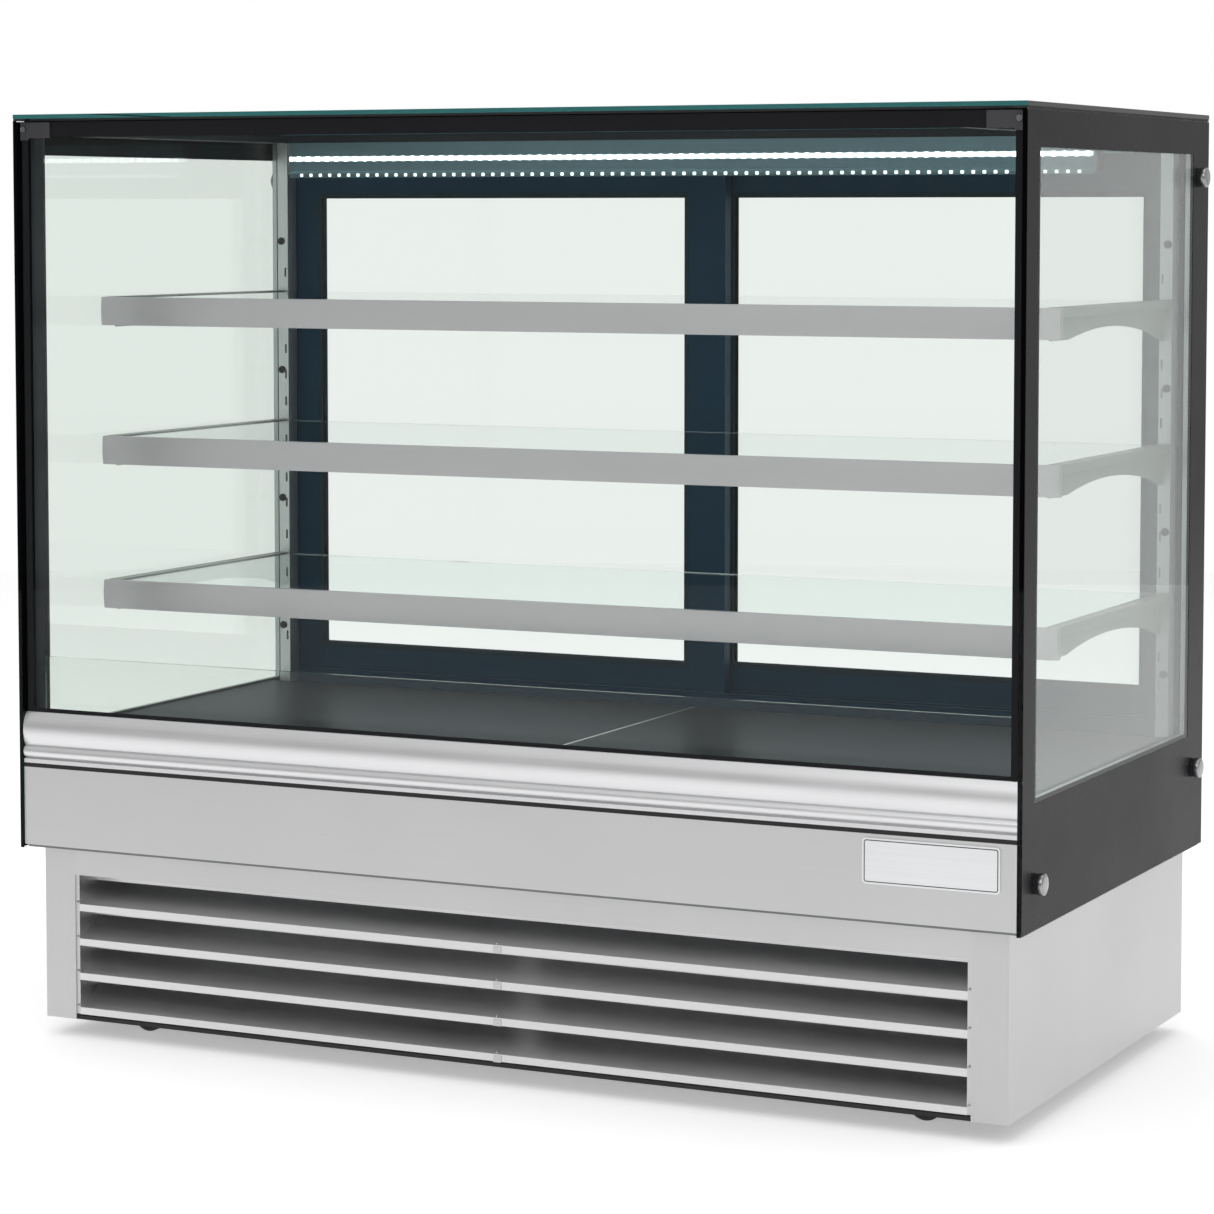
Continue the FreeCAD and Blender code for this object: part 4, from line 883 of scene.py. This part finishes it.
class OBJECT_OT_deli_fan_guard(bpy.types.Operator):
    """Fits the wire guard over the condenser fan: rings and four spokes"""

    bl_idname = "object.deli_fan_guard"
    bl_label = "Fan guard"

    def execute(self, context):
        foot, top = corners("condenser_fan_shroud")
        middle = (foot + top) / 2
        y = top.y + 1.5 * MM
        wire = 1.1 * MM
        smallest, beyond, apart = 38, 76, 9
        wires = []
        for ring in range(smallest, beyond, apart):
            bpy.ops.mesh.primitive_torus_add(
                major_radius=ring * MM, minor_radius=wire, major_segments=48, minor_segments=8,
                location=(middle.x, y, middle.z), rotation=(math.pi / 2, 0, 0))
            wires.append(bpy.context.active_object)
        for turn in range(4):
            spoke = add_rod((middle.x, y + 1.6 * MM, middle.z), "z", wire, 40 * MM, 8)
            spoke.data.transform(Matrix.Translation((0, 0, 55 * MM)))
            angle = math.radians(45 + 90 * turn)
            spoke.data.transform(Matrix.Translation(Vector((middle.x, 0, middle.z)))
                                 @ Matrix.Rotation(angle, 4, "Y")
                                 @ Matrix.Translation(Vector((-middle.x, 0, -middle.z))))
            wires.append(spoke)
        guard = smooth(join(wires))
        finish_piece(guard, "condenser_fan_guard", "galvanised")
        return {"FINISHED"}


class OBJECT_OT_deli_coil_bends(bpy.types.Operator):
    """Fits the condenser coil's copper return bends"""

    bl_idname = "object.deli_coil_bends"
    bl_label = "Coil return bends"

    def execute(self, context):
        foot, top = corners("condenser_coil")
        bend_radius = 9 * MM
        start = Vector((top.x, foot.y + 16 * MM, foot.z + 18 * MM))
        bpy.ops.mesh.primitive_circle_add(
            vertices=12, radius=3.5 * MM, fill_type="NOTHING", location=start, rotation=(0, math.pi / 2, 0))
        bend = in_edit(fix_place(), select_all,
                       lambda: bpy.ops.mesh.spin(steps=12, angle=math.pi, axis=(0, -1, 0),
                                                 center=start + Vector((0, 0, bend_radius))),
                       select_all, bpy.ops.mesh.edge_face_add, turn_outward)
        offsets = [(0, column * 34 * MM, row * 40 * MM) for column in range(2) for row in range(4)]
        bends = smooth(repeat(bend, offsets))
        finish_piece(bends, "condenser_return_bends", "copper")
        return {"FINISHED"}


class OBJECT_OT_deli_compressor_trim(bpy.types.Operator):
    """Fits the compressor's weld seam and its relay cover"""

    bl_idname = "object.deli_compressor_trim"
    bl_label = "Compressor trim"

    def execute(self, context):
        foot, top = corners("compressor")
        middle_x = foot.x + 90 * MM
        middle_y = (foot.y + top.y) / 2
        seam = add_rod((middle_x, middle_y, foot.z + 74 * MM), "z", 74.5 * MM, 5 * MM, 72)
        edit(seam, across("z"), inset(1.5 * MM), inset(0.5 * MM, -0.8 * MM))
        round_edges(seam, 0.7 * MM, 3)
        finish_piece(seam, "compressor_weld_seam", "black_enamel")
        cover = add_block((top.x - 1 * MM, middle_y - 22 * MM, foot.z + 54 * MM),
                          (top.x + 5 * MM, middle_y + 22 * MM, foot.z + 102 * MM))
        edit(cover, facing("x"), inset(3 * MM), inset(1 * MM, 1.5 * MM))
        round_edges(cover, 1.2 * MM, 2)
        finish_piece(cover, "compressor_relay_cover", "plastic")
        return {"FINISHED"}


class OBJECT_OT_deli_controls(bpy.types.Operator):
    """Fits the rear controls: panel bezel, display window with lit numerals, four keys and switch bezels"""

    bl_idname = "object.deli_controls"
    bl_label = "Rear controls"

    def execute(self, context):
        foot, top = corners("control_panel")
        middle_z = (foot.z + top.z) / 2
        bezel = open_frame(1, top.y - 1 * MM, outline("control_panel", 1, 7 * MM),
                           outline("control_panel", 1, -2 * MM), 3 * MM)
        finish_piece(round_edges(bezel, 1 * MM, 2), "control_panel_bezel", "plastic")
        window = add_block((top.x - 114 * MM, top.y - 2.5 * MM, middle_z - 19 * MM),
                           (top.x - 64 * MM, top.y - 1 * MM, middle_z + 19 * MM))
        edit(window, facing("y"), inset(1 * MM), inset(0.4 * MM, -0.4 * MM))
        finish_piece(round_edges(window, 0.4 * MM, 2), "display_window", "display")
        self.numerals(top.x - 89 * MM, top.y - 1.3 * MM, middle_z)
        self.keys(top.x - 46 * MM, top.y - 2.5 * MM, middle_z)
        for switch in ("power_switch", "lamp_switch"):
            rim = open_frame(1, top.y - 1 * MM, outline(switch, 1, 4 * MM, 6 * MM),
                             outline(switch, 1, 0.7 * MM, 2.6 * MM), 2 * MM)
            finish_piece(round_edges(rim, 0.5 * MM, 2), switch + "_bezel", "grey_plastic")
        return {"FINISHED"}

    def numerals(self, x, y, z):
        """Two lit seven-bar numerals, seen from behind the case."""
        long_bar = 7 * MM
        thick = 1.2 * MM
        bars = []
        for digit, lit_bars in ((-1, "abcdg"), (1, "abcdefg")):
            digit_x = x - digit * 7.5 * MM
            spots = {"a": (0, 1, True), "g": (0, 0, True), "d": (0, -1, True), "b": (-0.5, 0.5, False),
                     "c": (-0.5, -0.5, False), "f": (0.5, 0.5, False), "e": (0.5, -0.5, False)}
            for name in lit_bars:
                shift, lift, level = spots[name]
                middle = (digit_x + shift * (long_bar + thick), z + lift * (long_bar + thick))
                wide, tall = (long_bar, thick) if level else (thick, long_bar)
                bar = add_block((middle[0] - wide / 2, y, middle[1] - tall / 2),
                                (middle[0] + wide / 2, y + 0.5 * MM, middle[1] + tall / 2))
                bars.append(modify(bar, "BEVEL", width=0.25 * MM, segments=1))
        finish_piece(join(bars), "display_numerals", "digits")

    def keys(self, x, y, z):
        """Four rounded keys in a square."""
        key = add_block((-6 * MM, y, -6 * MM), (6 * MM, y + 2 * MM, 6 * MM))
        edit(key, facing("y"), inset(1.2 * MM), inset(0.6 * MM, -0.4 * MM))
        round_edges(key, 0.9 * MM, 3)
        offsets = [(x + column * 9 * MM, 0, z + row * 9 * MM) for column in (-1, 1) for row in (-1, 1)]
        finish_piece(repeat(key, offsets), "control_keys", "grey_plastic")


class OBJECT_OT_deli_deck_joint(bpy.types.Operator):
    """Lays the thin bright strip in the joint between the two deck panels"""

    bl_idname = "object.deli_deck_joint"
    bl_label = "Deck joint"

    def execute(self, context):
        foot, top = corners("deck_panels")
        strip = add_block((-1.3 * MM, foot.y + 1 * MM, top.z - 3 * MM), (1.3 * MM, top.y - 1 * MM, top.z + 0.7 * MM))
        round_edges(strip, 0.3 * MM, 2)
        finish_piece(strip, "deck_joint_strip", "hairline")
        return {"FINISHED"}


class OBJECT_OT_deli_badge(bpy.types.Operator):
    """Presses a dark rounded border line into the blank badge plate"""

    bl_idname = "object.deli_badge"
    bl_label = "Badge border"

    def execute(self, context):
        foot, top = corners("badge_plate")
        margin = 2.4 * MM
        line_width = 1.2 * MM
        border = add_block((foot.x + margin, foot.y - 0.25 * MM, foot.z + margin),
                           (top.x - margin, foot.y + 0.2 * MM, top.z - margin))
        in_edit(border, deselect)
        for line in border.data.edges:
            one, two = (border.data.vertices[index].co for index in line.vertices)
            line.select = abs(one.y - two.y) > 0.1 * MM
        in_edit(border, lambda: bpy.ops.mesh.select_mode(type="EDGE"),
                lambda: bpy.ops.mesh.bevel(offset=3.5 * MM, segments=6, affect="EDGES"))
        edit(border, across("y"), inset(line_width), delete_faces)
        in_edit(border, wall_openings)
        finish_piece(border, "badge_border", "plate")
        return {"FINISHED"}


class OBJECT_OT_deli_screws(bpy.types.Operator):
    """Fits the small cross-slotted screws of the base's rear panel and rivets on the grille"""

    bl_idname = "object.deli_screws"
    bl_label = "Screws and rivets"

    def execute(self, context):
        foot, top = corners("base_rear_panel")
        rear = []
        columns = 6
        margin = 18 * MM
        for column in range(columns):
            x = foot.x + margin + column * (top.x - foot.x - 2 * margin) / (columns - 1)
            rear += [(x, top.z - 10 * MM), (x, foot.z + 10 * MM)]
        screw = self.screw(top.y)
        finish_piece(repeat(screw, [(x, 0, z) for x, z in rear]), "rear_panel_screws", "cap")
        grille, grille_top = corners("grille_frame")
        rivets = []
        for x in (grille.x + 3 * MM, 0.0, grille_top.x - 3 * MM):
            for row in range(4):
                rivets.append((x, 0, grille.z + (14 + 49.5 * row) * MM))
        rivet = add_rod((0, grille.y - 0.5 * MM, 0), "y", 1.5 * MM, 1.4 * MM, 16)
        edit(rivet, facing("y", -1), inset(0.5 * MM, 0.3 * MM))
        finish_piece(smooth(repeat(rivet, rivets), 60), "grille_rivets", "rail")
        return {"FINISHED"}

    def screw(self, at):
        """A low round head with a cross recess, facing along +Y from the place at."""
        head = add_rod((0, at + 0.8 * MM, 0), "y", 4 * MM, 1.8 * MM, settings().screw_sides)
        edit(head, facing("y"), inset(1.1 * MM, 0.5 * MM))
        smooth(head, 50)
        for wide, tall in ((3.6 * MM, 0.8 * MM), (0.8 * MM, 3.6 * MM)):
            slot = add_block((-wide / 2, at + 0.9 * MM, -tall / 2), (wide / 2, at + 3 * MM, tall / 2))
            modify(head, "BOOLEAN", operation="DIFFERENCE", solver="EXACT", object=slot)
            bpy.data.objects.remove(slot)
        return head


class OBJECT_OT_deli_stage(bpy.types.Operator):
    """Adds the floor, the surround, the studio lamps and the camera"""

    bl_idname = "object.deli_stage"
    bl_label = "Stage"

    def execute(self, context):
        self.floor()
        self.sky(context)
        for name, place, size, power in (
                ("key", (0.6, -3.6, 3.2), 2.2, 30),
                ("fill", (4.6, -2.4, 2.4), 2.6, 8),
                ("overhead", (0.0, 0.2, 4.4), 3.4, 40),
                ("rear", (-1.4, 3.8, 3.7), 2.2, 12)):
            self.soft_lamp(context, name, place, size, power)
        camera_data = bpy.data.cameras.new("camera")
        camera = bpy.data.objects.new("camera", camera_data)
        context.collection.objects.link(camera)
        camera.location = (2.2496, -4.6517, 1.1722)
        camera.rotation_euler = (math.radians(90 - 4.0), 0.0, math.radians(25.904))
        camera_data.lens = 108.3
        camera_data.sensor_width = 36.0
        camera_data.shift_y = -0.1141
        context.scene.camera = camera
        return {"FINISHED"}

    def floor(self):
        """A pale round floor."""
        bpy.ops.mesh.primitive_circle_add(vertices=96, radius=7, fill_type="NGON", location=(0, 0, 0))
        floor = bpy.context.active_object
        floor.name = "studio_floor"
        material, tree, shader = new_material("studio floor")
        cloud = tree.group("soft_marks", Size=0.5, Amount=1.0)[0]
        set_shader(tree, shader, Base_Color=tree.mix(cloud, (0.93, 0.93, 0.93, 1), (0.95, 0.95, 0.95, 1)),
                   Roughness=0.9, Emission_Color=(1, 1, 1, 1), Emission_Strength=0.38)
        floor.data.materials.append(material)

    def sky(self, context):
        """A white surround whose reflections are darker low in front of the case."""
        world = bpy.data.worlds.new("studio")
        context.scene.world = world
        world.use_nodes = True
        tree = Tree(world.node_tree)
        background = next(node for node in world.node_tree.nodes if node.type == "BACKGROUND")
        way = tree.split("ShaderNodeTexCoord", "Generated")
        ahead = tree.range(tree.math("MULTIPLY", way[1], -1.0), 0.35, 0.75, 0.0, 1.0)
        level = tree.range(tree.math("ABSOLUTE", way[2]), 0.12, 0.45, 1.0, 0.0)
        shade = tree.range(tree.math("MULTIPLY", ahead, level), 0.0, 1.0, 1.0, 0.3)
        joined = tree.add("ShaderNodeCombineColor")
        for socket in joined.inputs[:3]:
            tree.link(shade, socket)
        tree.link(joined.outputs[0], background.inputs[0])
        background.inputs[1].default_value = 0.62
        white = tree.add("ShaderNodeBackground")
        white.inputs[0].default_value = (1, 1, 1, 1)
        white.inputs[1].default_value = 1.0
        rays = tree.add("ShaderNodeLightPath").outputs
        seen = tree.math("MAXIMUM", rays["Is Camera Ray"], rays["Is Transmission Ray"])
        tree.blend(seen, background.outputs[0], white.outputs[0], "OUTPUT_WORLD")
        context.scene.view_settings.view_transform = "Standard"

    def soft_lamp(self, context, name, place, size, power):
        """A square soft white lamp aimed at the middle of the case."""
        lamp_data = bpy.data.lights.new(name, "AREA")
        lamp_data.size = size
        lamp_data.energy = power
        lamp = bpy.data.objects.new(name, lamp_data)
        context.collection.objects.link(lamp)
        lamp.visible_camera = False
        lamp.visible_transmission = False
        lamp.location = place
        aim = Vector((0, 0, 0.7)) - Vector(place)
        lamp.rotation_euler = aim.to_track_quat("-Z", "Y").to_euler()


class VIEW3D_PT_deli_case(bpy.types.Panel):
    """Lists the steps that build the case's looks"""

    bl_label = "Deli case"
    bl_idname = "VIEW3D_PT_deli_case"
    bl_space_type = "VIEW_3D"
    bl_region_type = "UI"
    bl_category = "Deli case"

    def draw(self, context):
        for name in DeliCaseSettings.__annotations__:
            self.layout.prop(settings(), name)
        for step in STEPS:
            self.layout.operator(step.bl_idname)


STEPS = (
    OBJECT_OT_deli_finishes,
    OBJECT_OT_deli_glass_prints,
    OBJECT_OT_deli_caps,
    OBJECT_OT_deli_top_lamp,
    OBJECT_OT_deli_shelf_diodes,
    OBJECT_OT_deli_shelf_end_trims,
    OBJECT_OT_deli_door_trim,
    OBJECT_OT_deli_caster_hubs,
    OBJECT_OT_deli_fan_guard,
    OBJECT_OT_deli_coil_bends,
    OBJECT_OT_deli_compressor_trim,
    OBJECT_OT_deli_controls,
    OBJECT_OT_deli_deck_joint,
    OBJECT_OT_deli_badge,
    OBJECT_OT_deli_screws,
    OBJECT_OT_deli_stage,
)
CLASSES = (DeliCaseSettings,) + STEPS + (VIEW3D_PT_deli_case,)


def register():
    """Register the classes and the settings."""
    for item in CLASSES:
        bpy.utils.register_class(item)
    bpy.types.Scene.deli_case = PointerProperty(type=DeliCaseSettings)


def unregister():
    """Take the classes and the settings away again."""
    del bpy.types.Scene.deli_case
    for item in reversed(CLASSES):
        bpy.utils.unregister_class(item)


def main():
    """Build the case's looks in order."""
    register()
    for step in STEPS:
        group, name = step.bl_idname.split(".")
        getattr(getattr(bpy.ops, group), name)()


if __name__ == "__main__":
    main()
